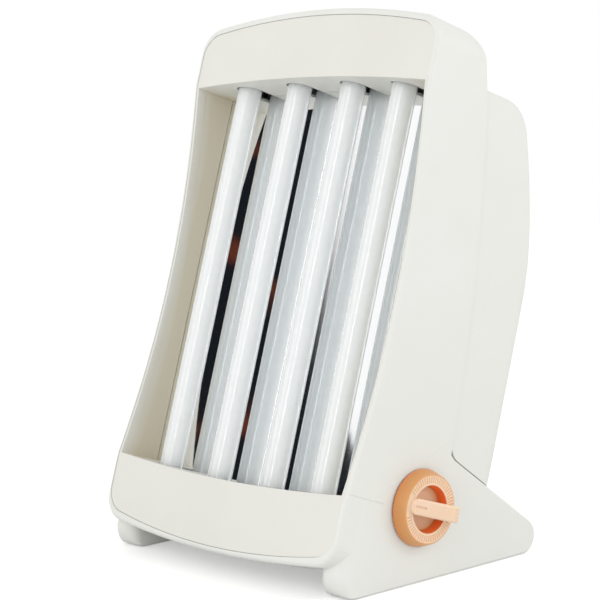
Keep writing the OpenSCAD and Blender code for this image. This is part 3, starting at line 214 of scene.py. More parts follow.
def finish_nodes(name, colour, roughness, **sockets):
    """A material with Object coordinates ready: returns it, its nodes, links, shader and coordinates."""
    made = bpy.data.materials.new(name)
    made.use_nodes = True
    tree = made.node_tree
    shader = tree.nodes["Principled BSDF"]
    shader.inputs["Base Color"].default_value = (*colour, 1.0)
    shader.inputs["Roughness"].default_value = roughness
    for key, value in sockets.items():
        shader.inputs[key.replace("_", " ")].default_value = value
    made.diffuse_color = (*colour, 1.0)
    where = tree.nodes.new("ShaderNodeTexCoord")
    return made, tree.nodes, tree.links, shader, where.outputs["Object"]


def noise_at(n, l, where, scale, detail=2.0, stretch=None):
    """Noise of so many cells in a metre, stretched along an axis where a scale for each axis is given."""
    if stretch:
        turn = n.new("ShaderNodeMapping")
        turn.inputs["Scale"].default_value = stretch
        l.new(where, turn.inputs["Vector"])
        where = turn.outputs["Vector"]
    noise = n.new("ShaderNodeTexNoise")
    noise.inputs["Scale"].default_value = scale
    noise.inputs["Detail"].default_value = detail
    l.new(where, noise.inputs["Vector"])
    return noise.outputs["Fac"]


def ramped(n, l, factor, stops, blend="LINEAR"):
    """A run of colours with a factor, through stops given as (position, colour)."""
    ramp = n.new("ShaderNodeValToRGB")
    ramp.color_ramp.interpolation = blend
    steps = ramp.color_ramp.elements
    for at, colour in stops[1:-1]:
        steps.new(at).color = (*colour, 1)
    for k in (0, -1):
        steps[k].position, steps[k].color = stops[k][0], (*stops[k][1], 1)
    l.new(factor, ramp.inputs["Fac"])
    return ramp.outputs["Color"]


def tinted(n, l, shader, factor, low, high, start=0.3, end=0.7):
    """Base colour that runs from one tone to another with a factor."""
    tone = ramped(n, l, factor, [(start, low), (end, high)])
    l.new(tone, shader.inputs["Base Color"])
    return tone


def raised(n, l, shader, heights, distance, normal=None):
    """Relief from a chain of height factors, each added on the one before, on the normal given first."""
    for height, depth in zip(heights, distance):
        bump = n.new("ShaderNodeBump")
        bump.inputs["Distance"].default_value = depth
        l.new(height, bump.inputs["Height"])
        if normal:
            l.new(normal, bump.inputs["Normal"])
        normal = bump.outputs["Normal"]
    l.new(normal, shader.inputs["Normal"])


def ranged(n, l, shader, factor, low, high):
    """Roughness that runs over a range with a factor."""
    spread = n.new("ShaderNodeMapRange")
    spread.inputs["From Min"].default_value, spread.inputs["From Max"].default_value = 0.3, 0.7
    spread.inputs["To Min"].default_value, spread.inputs["To Max"].default_value = low, high
    l.new(factor, spread.inputs["Value"])
    l.new(spread.outputs["Result"], shader.inputs["Roughness"])


def moulded_plastic(name, colour, roughness=0.42, grain=0.000012, cell=1400.0, edge=0.0):
    """Injection-moulded plastic: a spark-eroded grain, a slow waviness of the wall and a slight drift of
    tone. Its edges are rounded in the shading by a radius in metres where one is given."""
    made, n, l, shader, where = finish_nodes(name, colour, roughness)
    slow = noise_at(n, l, where, 14.0, 3.0)
    dark = tuple(c * 0.98 * k for c, k in zip(colour, (1.0, 0.995, 0.985)))
    tinted(n, l, shader, slow, dark, tuple(c * 1.01 for c in colour))
    fine = noise_at(n, l, where, cell, 2.0)
    ranged(n, l, shader, fine, roughness - 0.04, roughness + 0.05)
    corner = None
    if edge:
        bevel = n.new("ShaderNodeBevel")
        bevel.samples = 6
        bevel.inputs["Radius"].default_value = edge
        corner = bevel.outputs["Normal"]
    raised(n, l, shader, [slow, fine], [0.0003, grain], corner)
    return made


# The rounded envelope is 0.06 mm larger than the walls, so that it cuts them at their edges only
SPARE = 0.06


def front_depth(u):
    """Depth of the front edge at the height u: flat at both ends, one shallow arc over the window."""
    mid, half = (WINDOW_LOW + WINDOW_HIGH) / 2, (WINDOW_HIGH - WINDOW_LOW) / 2
    r = (half ** 2 + FRONT_HOLLOW ** 2) / (2 * FRONT_HOLLOW)
    return -FRONT_REACH + np.sqrt(r * r - np.clip(np.abs(u - mid), 0, half) ** 2) - (r - FRONT_HOLLOW)


def skid_height(y):
    """Height of a skid's sloping back above the table."""
    return (SKID_TAIL - y) * math.tan(math.radians(SKID_SLOPE))


def rear_depth(u):
    """Depth of the rear edge at the height u: the hood's upright wall above, the bowed side wall below."""
    top, end = leaning(HOOD_BACK, HOOD_LOW), leaning(FLANK_Y, skid_height(FLANK_Y))
    d = end - top
    length = np.linalg.norm(d)
    r = (length ** 2 / 4 + FLANK_BOW ** 2) / (2 * FLANK_BOW)
    c = (top + end) / 2 - np.array([-d[1], d[0]]) / length * (r - FLANK_BOW)
    v = c[0] + np.sqrt(np.maximum(r * r - (u - c[1]) ** 2, 0))
    v = np.where(u > top[1], (HOOD_BACK - u * ST) / CT, v)
    return np.where(u < end[1], (FLANK_Y - u * ST) / CT, v)


loop = barrel(HALF_W, FRONT_TOP, FRONT_LOW, CROWN_R, BELLY_R, CORNER_R)
face_out = outward(loop)
lift = np.abs(face_out[:, 1])
edge_in = RIM_ROUND + RIM_MORE * lift
hood_u = leaning(HOOD_BACK, HOOD_LOW)[1]
back_r = np.where(loop[:, 1] > hood_u - 0.5, HOOD_ROUND + HOOD_MORE * lift ** 2, REAR_ROUND)
quarter = np.radians(np.linspace(0, 90, 9))
insets = [edge_in] + [edge_in - (edge_in + SPARE) * math.sin(a) for a in quarter] + \
    [back_r - (back_r + SPARE) * math.cos(a) for a in quarter]
grid = []
for k, inset in enumerate(insets):
    p = loop - face_out * inset[:, None]
    if k == 0:
        v = np.full(len(loop), ENVELOPE_FROM)
    elif k <= len(quarter):
        v = front_depth(p[:, 1]) + RIM_DEEP - (RIM_DEEP + SPARE) * math.cos(quarter[k - 1])
    else:
        v = rear_depth(p[:, 1]) - back_r + (back_r + SPARE) * math.sin(quarter[k - 1 - len(quarter)])
    grid.append(placed(p[:, 0], v, p[:, 1]))
envelope = sheet_mesh("envelope", grid, around=True, caps="mirrored", flip=True)
reach, low_z = HALF_W + BELLY_WIDER, BELLY_Z + BELLY_ROUND - BELLY_LOWER
under = np.vstack([arc(reach - BELLY_ROUND, low_z, BELLY_ROUND, -90, 0, 8, True),
                   [[reach, 450.0], [-reach, 450.0]],
                   arc(BELLY_ROUND - reach, low_z, BELLY_ROUND, 180, 270, 8, True)])
belly = sheet_mesh("belly", [standing(under[:, 0], y, under[:, 1]) for y in (-120.0, 320.0)],
                   around=True, caps="flat", flip=True)
carved(envelope, belly, "INTERSECT")
flank_foot = leaning(FLANK_Y, skid_height(FLANK_Y))
front_v = -SKID_REACH
slope_line = leaning(FLANK_Y + 0.2, skid_height(FLANK_Y + 0.2))
skid_side = rounded([(front_v, front_v * ST / CT, NOSE_R), (*leaning(SKID_TAIL, 0), TAIL_R),
                     (*slope_line, FLANK_R), (*(flank_foot + [-12, 32]), 0), (front_v, 45.0, 0)], 5.0)
skid_out = outward(skid_side)
ahead = np.clip(-skid_out[:, 0], 0, 1) * (skid_side[:, 0] < 0)
half_skid, SKID_SPARE, FLAT_SHARE = SKID_W / 2, 0.05, 0.6
for side in (1, -1):
    grid = []
    for s in np.linspace(-1, 1, 29):
        # Across the flat middle in equal steps, then round the edge
        if abs(s) < FLAT_SHARE:
            dx, inset = (half_skid - SKID_ROUND) * s / FLAT_SHARE, -SKID_SPARE
        else:
            b = (abs(s) - FLAT_SHARE) / (1 - FLAT_SHARE) * math.pi / 2
            dx = math.copysign(half_skid - SKID_ROUND + (SKID_ROUND + SKID_SPARE) * math.sin(b), s)
            inset = SKID_ROUND - (SKID_ROUND + SKID_SPARE) * math.cos(b)
        nose = half_skid - math.sqrt(max(0.0, half_skid ** 2 - min(abs(dx), half_skid) ** 2))
        p = skid_side - skid_out * (inset * (1 - ahead))[:, None]
        p[:, 0] += ahead * (nose - SKID_SPARE)
        grid.append(placed(side * (HALF_W - half_skid) + dx, p[:, 0], p[:, 1]))
    skid = sheet_mesh("skid", grid, around=True, caps="flat")
    carved(envelope, skid, "UNION")
housing = merged_copy("housing_shell", "outer_housing")
# A wall follows the hood's rounded rear edge inside, where the hollow's square corner would come through it
BACKING, LAP, ABOVE_HOOD, LEAST_R = 2.4, 3.0, 8.0, 0.2
high_up = loop[:, 1] > hood_u + ABOVE_HOOD
core_r = np.maximum(back_r - BACKING, LEAST_R)
section = [(0 * back_r - SPARE, -back_r - LAP)] + \
    [(back_r - (back_r + SPARE) * math.cos(a), -back_r + (back_r + SPARE) * math.sin(a))
     for a in quarter] + \
    [(back_r + LAP, 0 * back_r + SPARE), (back_r + LAP, core_r - back_r)] + \
    [(back_r - core_r * math.cos(a), -back_r + core_r * math.sin(a)) for a in quarter[::-1]] + \
    [(back_r - core_r, -back_r - LAP)]
grid = []
for inset, dv in section:
    p = loop - face_out * inset[:, None]
    grid.append(placed(p[:, 0], rear_depth(p[:, 1]) + dv, p[:, 1])[high_up])
backing = sheet_mesh("backing", np.stack(grid, axis=1), around=True, caps="flat")
carved(housing, faced_out(backing), "UNION")
carved(housing, envelope, "INTERSECT")
# The index line that the knob is read against: a groove of a V section in the right side wall
MARK_V, MARK_U, MARK_LEN, MARK_SLOPE = -26.6, 57.9, 29.2, math.radians(2.2)
MARK_W, MARK_DEEP, MARK_OUT, MARK_TIP = 1.4, 0.7, 0.6, 0.05
cut = np.array([(HALF_W + MARK_OUT, MARK_W), (HALF_W - MARK_DEEP, MARK_TIP),
                (HALF_W - MARK_DEEP, -MARK_TIP), (HALF_W + MARK_OUT, -MARK_W)])
run = np.array([0.0, MARK_LEN])[:, None]
index_cut = sheet_mesh("index_cut", placed(cut[:, 0], MARK_V + run * math.cos(MARK_SLOPE),
                                           MARK_U + cut[:, 1] - run * math.sin(MARK_SLOPE)),
                       around=True, caps="flat")
carved(housing, faced_out(index_cut), "DIFFERENCE")
smooth_faces(housing)
shell_white = moulded_plastic("shell_white", SHELL_WHITE, 0.40)
wear_material(housing, shell_white)
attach(housing, "lamp_body")
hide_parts("outer_housing")

# Skid pads: four soft black pads pressed into the undersides of the skids.
# Plain moulded rubber with a matt, faintly pitted face and a dusty drift of tone.
RUBBER = (0.018, 0.018, 0.019)
rubber_black, n, l, shader, where = finish_nodes("rubber_black", RUBBER, 0.8)
tinted(n, l, shader, noise_at(n, l, where, 60.0, 3.0), RUBBER, tuple(c * 1.5 for c in RUBBER))
raised(n, l, shader, [noise_at(n, l, where, 900.0, 3.0)], [0.00003])
wear_material(nodes["skid_pads"], rubber_black)

# Chassis: a folded tray of zinc-plated steel sheet that carries the holders, chokes and starters.
# Rolled sheet shows long faint streaks and a spangled, slightly mottled plating.
def plated_sheet(name, colour=(0.55, 0.56, 0.57), streak=(300.0, 18.0, 18.0)):
    """Zinc-plated sheet: streaks along the rolling, mottled plating, and a soft metallic gloss."""
    made, n, l, shader, where = finish_nodes(name, colour, 0.34, Metallic=1.0)
    lines = noise_at(n, l, where, 1.0, 4.0, streak)
    spots = noise_at(n, l, where, 220.0, 3.0)
    tinted(n, l, shader, spots, tuple(c * 0.86 for c in colour), tuple(c * 1.12 for c in colour))
    ranged(n, l, shader, lines, 0.26, 0.46)
    raised(n, l, shader, [lines], [0.00002])
    return made


def dress(material, *names):
    """Gives construction nodes one material."""
    for name in names:
        wear_material(nodes[name], material)


zinc_sheet = plated_sheet("zinc_sheet")
dress(zinc_sheet, "chassis", "choke_foot_1", "choke_foot_2", "timer_plate")

# Mirror: one sheet of bright-rolled aluminium between the front frame and the chassis.
# It throws the tubes' light forward and shows their doubled images in the window.
mirror_bright, n, l, shader, where = finish_nodes("mirror_bright", (0.90, 0.91, 0.915), 0.03, Metallic=1.0)
roll = noise_at(n, l, where, 1.0, 3.0, (120.0, 5.0, 5.0))
tinted(n, l, shader, roll, (0.945, 0.955, 0.96), (0.965, 0.975, 0.98))
ranged(n, l, shader, roll, 0.025, 0.045)
raised(n, l, shader, [roll], [0.000004])
dress(mirror_bright, "mirror_reflector")

# Lamp holders and their turning inserts: white heat-proof moulding, eight of each.
# Each holder clips through the chassis; the insert turns a quarter with the tube's pins.
holder_white = moulded_plastic("holder_white", (0.78, 0.76, 0.70), 0.45, 0.00001, 1800.0)
insert_white = moulded_plastic("insert_white", (0.70, 0.69, 0.66), 0.38, 0.000008, 2200.0)
for k in range(1, 5):
    dress(holder_white, f"lower_holder_{k}", f"upper_holder_{k}")
    dress(insert_white, f"holder_rotors_{k}")

# Chokes: two ballast coils on iron cores, each strapped to the chassis by a steel foot.
# The core is a stack of varnished iron sheets; the coil is wound enamelled copper wire.
core_iron, n, l, shader, where = finish_nodes("core_iron", (0.035, 0.037, 0.042), 0.5, Metallic=0.6)
layers = n.new("ShaderNodeTexWave")
layers.bands_direction = "Y"
layers.inputs["Scale"].default_value = 640.0
layers.inputs["Distortion"].default_value = 0.4
l.new(where, layers.inputs["Vector"])
tinted(n, l, shader, layers.outputs["Fac"], (0.02, 0.02, 0.023), (0.075, 0.078, 0.085))
raised(n, l, shader, [layers.outputs["Fac"]], [0.0001])
dress(core_iron, "choke_core_1", "choke_core_2")
copper_winding, n, l, shader, where = finish_nodes("copper_winding", (0.36, 0.13, 0.045), 0.3, Metallic=0.8)
lacquer = noise_at(n, l, where, 90.0, 3.0)
tinted(n, l, shader, lacquer, (0.28, 0.09, 0.03), (0.46, 0.18, 0.06))
ranged(n, l, shader, noise_at(n, l, where, 700.0, 2.0), 0.22, 0.38)
# A coil's section is a block of wires: its edge is a row of half circles, carried round the core's leg
COIL_X, COIL_U, COIL_V, COIL_IN, COIL_LEG = (-46.0, 12.0), 104.0, 12.1, 5.9, 31.4
COIL_DEEP, COIL_THICK, WIRE = 15.2, 7.2, 0.8
rows, layers_n = round(COIL_DEEP / WIRE), round(COIL_THICK / WIRE)
half = WIRE / 2
bump = np.radians(np.linspace(-90, 90, 5)[:-1])
along_v = (np.arange(rows)[:, None] + 0.5) * COIL_DEEP / rows
along_t = (np.arange(layers_n)[:, None] + 0.5) * COIL_THICK / layers_n
outer = (COIL_THICK - half + half * np.cos(bump), along_v + half * np.sin(bump))
far = (along_t[::-1] - half * np.sin(bump), COIL_DEEP - half + half * np.cos(bump))
near = (along_t + half * np.sin(bump), half - half * np.cos(bump))
section = np.vstack([np.stack(np.broadcast_arrays(*side), -1).reshape(-1, 2) for side in (near, outer, far)]
                    + [[(0.0, COIL_DEEP), (0.0, 0.0)]])
leg = rounded([(dx, du, 1.0) for dx, du in ((COIL_IN, COIL_LEG), (-COIL_IN, COIL_LEG),
                                            (-COIL_IN, -COIL_LEG), (COIL_IN, -COIL_LEG))], 9.0)
at_leg, leg_out = leg[:, None, :], outward(leg)[:, None, :]
for k, x in enumerate(COIL_X, start=1):
    grid = placed(x + at_leg[..., 0] + leg_out[..., 0] * section[:, 0], COIL_V + section[:, 1],
                  COIL_U + at_leg[..., 1] + leg_out[..., 1] * section[:, 0])
    coil = faced_out(sheet_mesh(f"coil_winding_{k}", grid, around=True, along=True))
    smooth_faces(coil, 60)
    wear_material(coil, copper_winding)
    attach(coil, "lamp_body")
    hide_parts(f"choke_coil_{k}")

# Starters: four small aluminium cans, each pushed and turned into a white two-pole socket.
# The sockets and the terminal block are of the holders' moulding.
can_bright = plated_sheet("can_bright", (0.70, 0.71, 0.72), (60.0, 60.0, 60.0))
for k in range(1, 5):
    dress(can_bright, f"starter_{k}")
    dress(holder_white, f"starter_socket_{k}")
dress(holder_white, "terminal_block")

# Wiring: tied bundles of stranded wire in coloured sleeving, from the inlet to the terminal block and the
# timer, and along the chassis to the holders, starters and chokes. Nylon ties hold each bundle together.
STRAND_TONES = ((0.016, 0.016, 0.018), (0.055, 0.10, 0.36), (0.22, 0.075, 0.03), (0.66, 0.64, 0.58))
TIE_TONE = (0.78, 0.77, 0.72)


def bent(points, radius, step=4.0):
    """A polyline through 3-D points with each inner corner replaced by the arc tangent to both its sides,
    and points every few millimetres. Returns the points and how far along each one lies."""
    p = np.asarray(points, dtype=float)
    out = [p[:1]]
    for a, b, c in zip(p[:-2], p[1:-1], p[2:]):
        d, e = (a - b) / np.linalg.norm(a - b), (c - b) / np.linalg.norm(c - b)
        half = math.acos(np.clip(d @ e, -1, 1)) / 2
        r = min(radius, 0.45 * min(np.linalg.norm(a - b), np.linalg.norm(c - b)) * math.tan(half))
        if half > 1.56:
            out.append(b[None])
            continue
        m = b + (d + e) / np.linalg.norm(d + e) * r / math.sin(half)
        s, f = b + d * r / math.tan(half) - m, b + e * r / math.tan(half) - m
        t = np.linspace(0, 1, 7)[:, None]
        way = s * np.sin((1 - t) * (math.pi - 2 * half)) + f * np.sin(t * (math.pi - 2 * half))
        out.append(m + way / math.sin(math.pi - 2 * half))
    out = np.vstack(out + [p[-1:]])
    run = np.concatenate([[0.0], np.cumsum(np.linalg.norm(np.diff(out, axis=0), axis=1))])
    at = np.linspace(0, run[-1], max(8, int(run[-1] / step) + 1))
    at = np.unique(np.concatenate([at, run[1:-1]]).round(3))
    return np.column_stack([np.interp(at, run, out[:, k]) for k in range(3)]), at


def square_to(way, ref):
    """Two unit directions square to the way a path takes: the first is square to a reference too."""
    way = way / np.linalg.norm(way, axis=-1, keepdims=True)
    side = np.cross(way, ref)
    side /= np.linalg.norm(side, axis=-1, keepdims=True)
    return way, side, np.cross(side, way)


def swept(name, path, ref, radius, around=10):
    """A round wire along a path: at each point a circle in the plane square to the way, set out from a
    reference direction, with closed ends."""
    _, side, lift = square_to(np.gradient(path, axis=0), ref)
    a = np.linspace(0, 2 * np.pi, around, endpoint=False)[None, :, None]
    ring = path[:, None, :] + radius * (side[:, None, :] * np.cos(a) + lift[:, None, :] * np.sin(a))
    return sheet_mesh(name, placed(*np.moveaxis(ring, -1, 0)), around=True, caps="flat", flip=True)


def bundle(path, at, ref, spots, radius, twist=0.0):
    """Wires side by side along one path: each keeps its spot in the bundle's section, turned slowly with
    the length where the bundle is twisted, and wanders a little. Returns one mesh for each wire."""
    _, side, lift = square_to(np.gradient(path, axis=0), ref)
    turn, made = twist * at, []
    for k, (across, up) in enumerate(spots):
        a = across * np.cos(turn) - up * np.sin(turn) + 0.10 * np.sin(at / 9.0 + 2.1 * k)
        b = across * np.sin(turn) + up * np.cos(turn) + 0.08 * np.sin(at / 7.0 + 1.3 * k)
        made.append(swept(f"strand_{k}", path + side * a[:, None] + lift * b[:, None], ref, radius))
    return made


def tie(path, at, place, ref, half_w, half_t, wide=2.2, thick=0.35):
    """A nylon tie: a flat band carried round the bundle's rounded section at one place of its path."""
    k = int(np.argmin(np.abs(at - place)))
    way, side, lift = square_to(path[min(k + 1, len(path) - 1)] - path[max(k - 1, 0)], ref)
    loop = rounded([(half_w, half_t, 0.9), (-half_w, half_t, 0.9), (-half_w, -half_t, 0.9),
                    (half_w, -half_t, 0.9)], 30.0)
    band = np.array([(-wide / 2, 0.0), (wide / 2, 0.0), (wide / 2, thick), (-wide / 2, thick)])
    across = loop[:, None, :] + outward(loop)[:, None, :] * band[:, 1, None]
    ring = path[k] + across[..., :1] * side + across[..., 1:] * lift + band[:, :1] * way
    return faced_out(sheet_mesh("tie", placed(*np.moveaxis(ring, -1, 0)), around=True, along=True))


def numbered(obj, name, values):
    """A number on each corner of a mesh, under the name that its material reads."""
    layer = obj.data.attributes.new(name, "FLOAT", "POINT")
    layer.data.foreach_set("value", (np.zeros(len(obj.data.vertices)) + values).astype(np.float32))
    return obj


def number_of(n, name):
    """The number on the mesh's corners, as a factor."""
    reader = n.new("ShaderNodeAttribute")
    reader.attribute_name = name
    return reader.outputs["Fac"]


def loom(name, node, strands, ties):
    """The wires and ties of one loom as one piece, each wire in the next tone of its sleeving."""
    parts = [numbered(strand, "sleeve", (0.1, 0.35, 0.6, 0.85)[k % 4]) for k, strand in enumerate(strands)]
    piece = joined(name, parts + [numbered(one, "sleeve", 0.99) for one in ties])
    smooth_faces(piece, 50)
    wear_material(piece, wire_sleeves)
    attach(piece, "lamp_body")
    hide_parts(node)


def joined(name, parts):
    """Several meshes as one object."""
    work = bmesh.new()
    for part in parts:
        work.from_mesh(part.data)
        bpy.data.objects.remove(part)
    mesh = bpy.data.meshes.new(name)
    work.to_mesh(mesh)
    work.free()
    return linked(name, mesh)


wire_sleeves, n, l, shader, where = finish_nodes("wire_sleeves", STRAND_TONES[0], 0.42)
stops = [(0.25 * k, colour) for k, colour in enumerate(STRAND_TONES)] + [(0.95, TIE_TONE)]
l.new(ramped(n, l, number_of(n, "sleeve"), stops, "CONSTANT"), shader.inputs["Base Color"])
scuff = noise_at(n, l, where, 420.0, 2.0)
ranged(n, l, shader, scuff, 0.34, 0.52)
raised(n, l, shader, [scuff], [0.00002])

TUBES_X, MID_U, LEDGE_V = (-73.1, -25.35, 25.35, 73.1), 182.9, 4.5
ACROSS, INTO, UP = np.eye(3)
# The holders' loom: six wires round three sides of the chassis, and a pair through it at each holder
PAIR = [(-0.65, 0.0), (0.65, 0.0)]
RUN_V, RUN_U, RUN_LEFT, RUN_RIGHT = LEDGE_V + 1.7, 147.2, -89.1, 90.1
path, at = bent([(RUN_RIGHT, RUN_V, MID_U + RUN_U), (RUN_LEFT, RUN_V, MID_U + RUN_U),
                 (RUN_LEFT, RUN_V, MID_U - RUN_U), (RUN_RIGHT, RUN_V, MID_U - RUN_U)], 9.0)
strands = bundle(path, at, INTO, [(dx, dv) for dv in (-0.68, 0.68) for dx in (-1.15, 0.0, 1.15)], 0.6)
ties = [tie(path, at, place, INTO, 1.95, 1.45) for place in np.arange(20.0, at[-1], 42.0)]
for end in (1, -1):
    for x in TUBES_X:
        hop = bent([(x + 14, -2.0, MID_U + end * RUN_U), (x + 14, LEDGE_V + 1.8, MID_U + end * RUN_U),
                    (x + 9, LEDGE_V + 2.2, MID_U + end * RUN_U)], 1.6, 1.0)
        strands += bundle(*hop, UP, PAIR, 0.55)
loom("holder_wires", "holder_loom", strands, ties)

# The starters' loom: four wires across, a pair up to each socket, and a pair down to each choke
STARTER_X, CROSS_U = (-66.0, -22.0, 22.0, 66.0), 186.25
path, at = bent([(STARTER_X[0], RUN_V, CROSS_U), (STARTER_X[-1], RUN_V, CROSS_U)], 4.0)
strands = bundle(path, at, INTO, [(dx, dv) for dv in (-0.62, 0.62) for dx in (-0.7, 0.7)], 0.6)
ties = [tie(path, at, place, INTO, 1.6, 1.4) for place in (22.0, 66.0, 110.0)]
for x in STARTER_X:
    hop = bent([(x, RUN_V, CROSS_U - 1), (x, RUN_V, CROSS_U + 5.7)], 1.0, 1.0)
    strands += bundle(*hop, INTO, PAIR, 0.55)
for x in COIL_X:
    hop = bent([(x, LEDGE_V + 3.8, CROSS_U), (x, LEDGE_V + 3.8, 151.0)], 1.0)
    strands += bundle(*hop, INTO, PAIR, 0.6, 0.12)
loom("starter_wires", "starter_loom", strands, ties)

# The mains wires: three twisted wires from the inlet to the terminal block, and a pair on to the timer
path, at = bent([(-60, 84.0, 72.6), (-60, 52.0, 53.0), (-60, 26.0, 45.0), (-60, 16.8, 45.0)], 12.0, 2.0)
a = np.radians([90, 210, 330])
strands = bundle(path, at, ACROSS, list(zip(1.25 * np.cos(a), 1.25 * np.sin(a))), 1.05, 0.16)
ties = [tie(path, at, place, ACROSS, 2.3, 2.3) for place in (12.0, 52.0)]
path, at = bent([(-44.6, 12.5, 45.0), (40.0, 12.5, 45.0), (73.6, 12.5, 48.3)], 20.0, 2.0)
strands += bundle(path, at, INTO, [(-0.95, 0.0), (0.95, 0.0)], 0.9, 0.14)
ties += [tie(path, at, place, INTO, 1.9, 1.9) for place in (30.0, 85.0)]
loom("mains_wires", "mains_loom", strands, ties)

# Timer: a clockwork switch in a black case behind a steel plate, screwed to two bosses of the side wall.
# Wheels and contacts are brass, the shaft and the mainspring steel, and the cam wheel white moulding.
timer_black = moulded_plastic("timer_black", (0.022, 0.022, 0.024), 0.45)
dress(timer_black, "timer_case")
wheel_brass = plated_sheet("wheel_brass", (0.62, 0.44, 0.18), (200.0, 200.0, 200.0))
dress(wheel_brass, "second_wheel", "governor_wheel", "switch_contacts")
dress(insert_white, "timer_cam_wheel")
shaft_steel = plated_sheet("shaft_steel", (0.50, 0.50, 0.50), (40.0, 900.0, 900.0))
dress(shaft_steel, "timer_shaft", "mainspring")

# Front frame: a cream-white moulding that lines the window, with four round notches above and below
# for the tubes. It is set into the housing's front and leaves a fine groove all round.
def in_body(obj):
    """A mesh's corners in the leaning axes, in mm: across, into the body and up along the tubes."""
    spot = np.empty(len(obj.data.vertices) * 3)
    obj.data.vertices.foreach_get("co", spot)
    x, y, z = (spot.reshape(-1, 3) * 1000 + ORIGIN).T
    return (x, *leaning(y, z))


def multiplied(n, l, first, second, socket):
    """Two colours multiplied, and led into a socket."""
    product = n.new("ShaderNodeMix")
    product.data_type, product.blend_type = "RGBA", "MULTIPLY"
    product.inputs["Factor"].default_value = 1.0
    l.new(first, product.inputs[6])
    l.new(second, product.inputs[7])
    l.new(product.outputs[2], socket)


frame_cream = moulded_plastic("frame_cream", (0.790, 0.790, 0.745), 0.42, edge=0.0007)
front = merged_copy("front_frame_moulding", "front_frame", 0.4)
smooth_faces(front)
# Painted shade: the window's cheeks are painted darker and warmer with depth, for the shade and the warm
# bounce between their facing walls. CHEEK_X is how far out they begin, and the painted shade runs over
# CHEEK_DEEP from just behind the front edge.
CHEEK_X, CHEEK_START, CHEEK_DEEP = 92.0, 2.0, 22.0
x, v, u = in_body(front)
recess = np.clip((v - front_depth(u) - CHEEK_START) / CHEEK_DEEP, 0, 1) * (np.abs(x) > CHEEK_X)
numbered(front, "recess", recess)
n, l = frame_cream.node_tree.nodes, frame_cream.node_tree.links
base = n["Principled BSDF"].inputs["Base Color"]
# The painted shade: the plain colour at the front, darker and warmer deep in the cheeks
painted_warm_shade = ramped(n, l, number_of(n, "recess"), [(0.0, (1.0, 1.0, 1.0)), (0.45, (0.87, 0.80, 0.67))])
multiplied(n, l, base.links[0].from_socket, painted_warm_shade, base)
wear_material(front, frame_cream)
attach(front, "lamp_body")
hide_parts("front_frame")

# Tubes: four slim fluorescent tubes of 16 mm with crimped aluminium caps and two brass pins at each end.
# The glass is white inside with its powder and glossy outside.
TUBE_R, TUBE_LEN, CAP_LEN, PIN_D, PIN_LEN, PIN_PITCH = 8.0, 288.0, 9.5, 2.35, 7.1, 4.75
TUBE_V, TUBE_ARC, NECK_R = 9.7, 1.6, 1.2


def turned(name, profile, x, v, u, steps=48):
    """A profile of (radius, height) pairs turned round an axis up along the tubes through (x, v)."""
    profile = np.asarray(profile, dtype=float)
    a = np.linspace(0, 2 * np.pi, steps, endpoint=False)
    r, h = profile[:, :1], profile[:, 1:]
    return sheet_mesh(name, placed(x + r * np.cos(a), v + r * np.sin(a), u + h), around=True, caps="flat")


glass_milk, n, l, shader, where = finish_nodes(
    "glass_milk", (0.79, 0.84, 0.855), 0.06, IOR=1.5, Coat_Weight=0.35, Coat_Roughness=0.04,
    Subsurface_Weight=1.0, Subsurface_Radius=(0.03, 0.03, 0.03), Subsurface_Scale=1.0)
powder = noise_at(n, l, where, 240.0, 3.0)
tinted(n, l, shader, powder, (0.775, 0.825, 0.84), (0.805, 0.85, 0.865))
ranged(n, l, shader, powder, 0.06, 0.09)
cap_aluminium = plated_sheet("cap_aluminium", (0.66, 0.67, 0.68), (60.0, 60.0, 60.0))
for k, x in enumerate(TUBES_X, start=1):
    v = -TUBE_V - (TUBE_ARC if abs(x) > 50 else 0.0)
    e, s = TUBE_LEN / 2, TUBE_LEN / 2 - CAP_LEN
    top = arc(TUBE_R - NECK_R, s + 0.4 - NECK_R, NECK_R, 0, 90, 6, True)
    glass = turned(f"glass_tube_{k}", np.vstack([top[::-1] * [1, -1], top]), x, v, MID_U, 64)
    smooth_faces(glass, 40)
    wear_material(glass, glass_milk)
    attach(glass, f"tube_{k}")
    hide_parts(f"tube_glass_{k}")
    parts, pin_r = [], PIN_D / 2
    cap_line = np.array([(TUBE_R - 0.5, s), (TUBE_R, s + 0.2), (TUBE_R, s + 1.6), (TUBE_R - 0.35, s + 2.0),
                         (TUBE_R - 0.35, s + 2.7), (TUBE_R, s + 3.1), (TUBE_R, e - 1.0),
                         (TUBE_R - 0.3, e - 0.35), (TUBE_R - 1.0, e)])
    pin_line = np.array([(pin_r, e - 0.4), (pin_r, e + PIN_LEN - 0.7), (pin_r * 0.8, e + PIN_LEN - 0.2),
                         (pin_r * 0.4, e + PIN_LEN)])
    for way in (1, -1):
        parts.append(turned("cap", (cap_line * [1, way])[::way], x, v, MID_U))
        for pin in (-1, 1):
            parts.append(turned("pin", (pin_line * [1, way])[::way], x + pin * PIN_PITCH / 2, v, MID_U, 16))
    caps = joined(f"end_caps_{k}", parts)
    smooth_faces(caps, 40)
    wear_material(caps, cap_aluminium)
    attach(caps, f"tube_{k}")
    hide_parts(f"tube_caps_{k}")

# Timer knob: a peach-orange moulding pressed on the flat of the timer's shaft. Its wall tapers to a ring
# with sixty engraved ticks round a deep dish. A grip bar rises across it, with an index slot in its low
# rounded end and small grooves on its high end.
KNOB_X, KNOB_V, KNOB_U = 111.6, 33.6, 59.4
KNOB_R, RING_R, KNOB_H, DISH_R, DISH_DEEP = 23.75, 21.0, 8.6, 14.5, 6.4
TICKS, TICK_DEEP, TICK_IN, TICK_OUT, TICK_END = 60, 0.45, 15.7, 20.1, 0.35
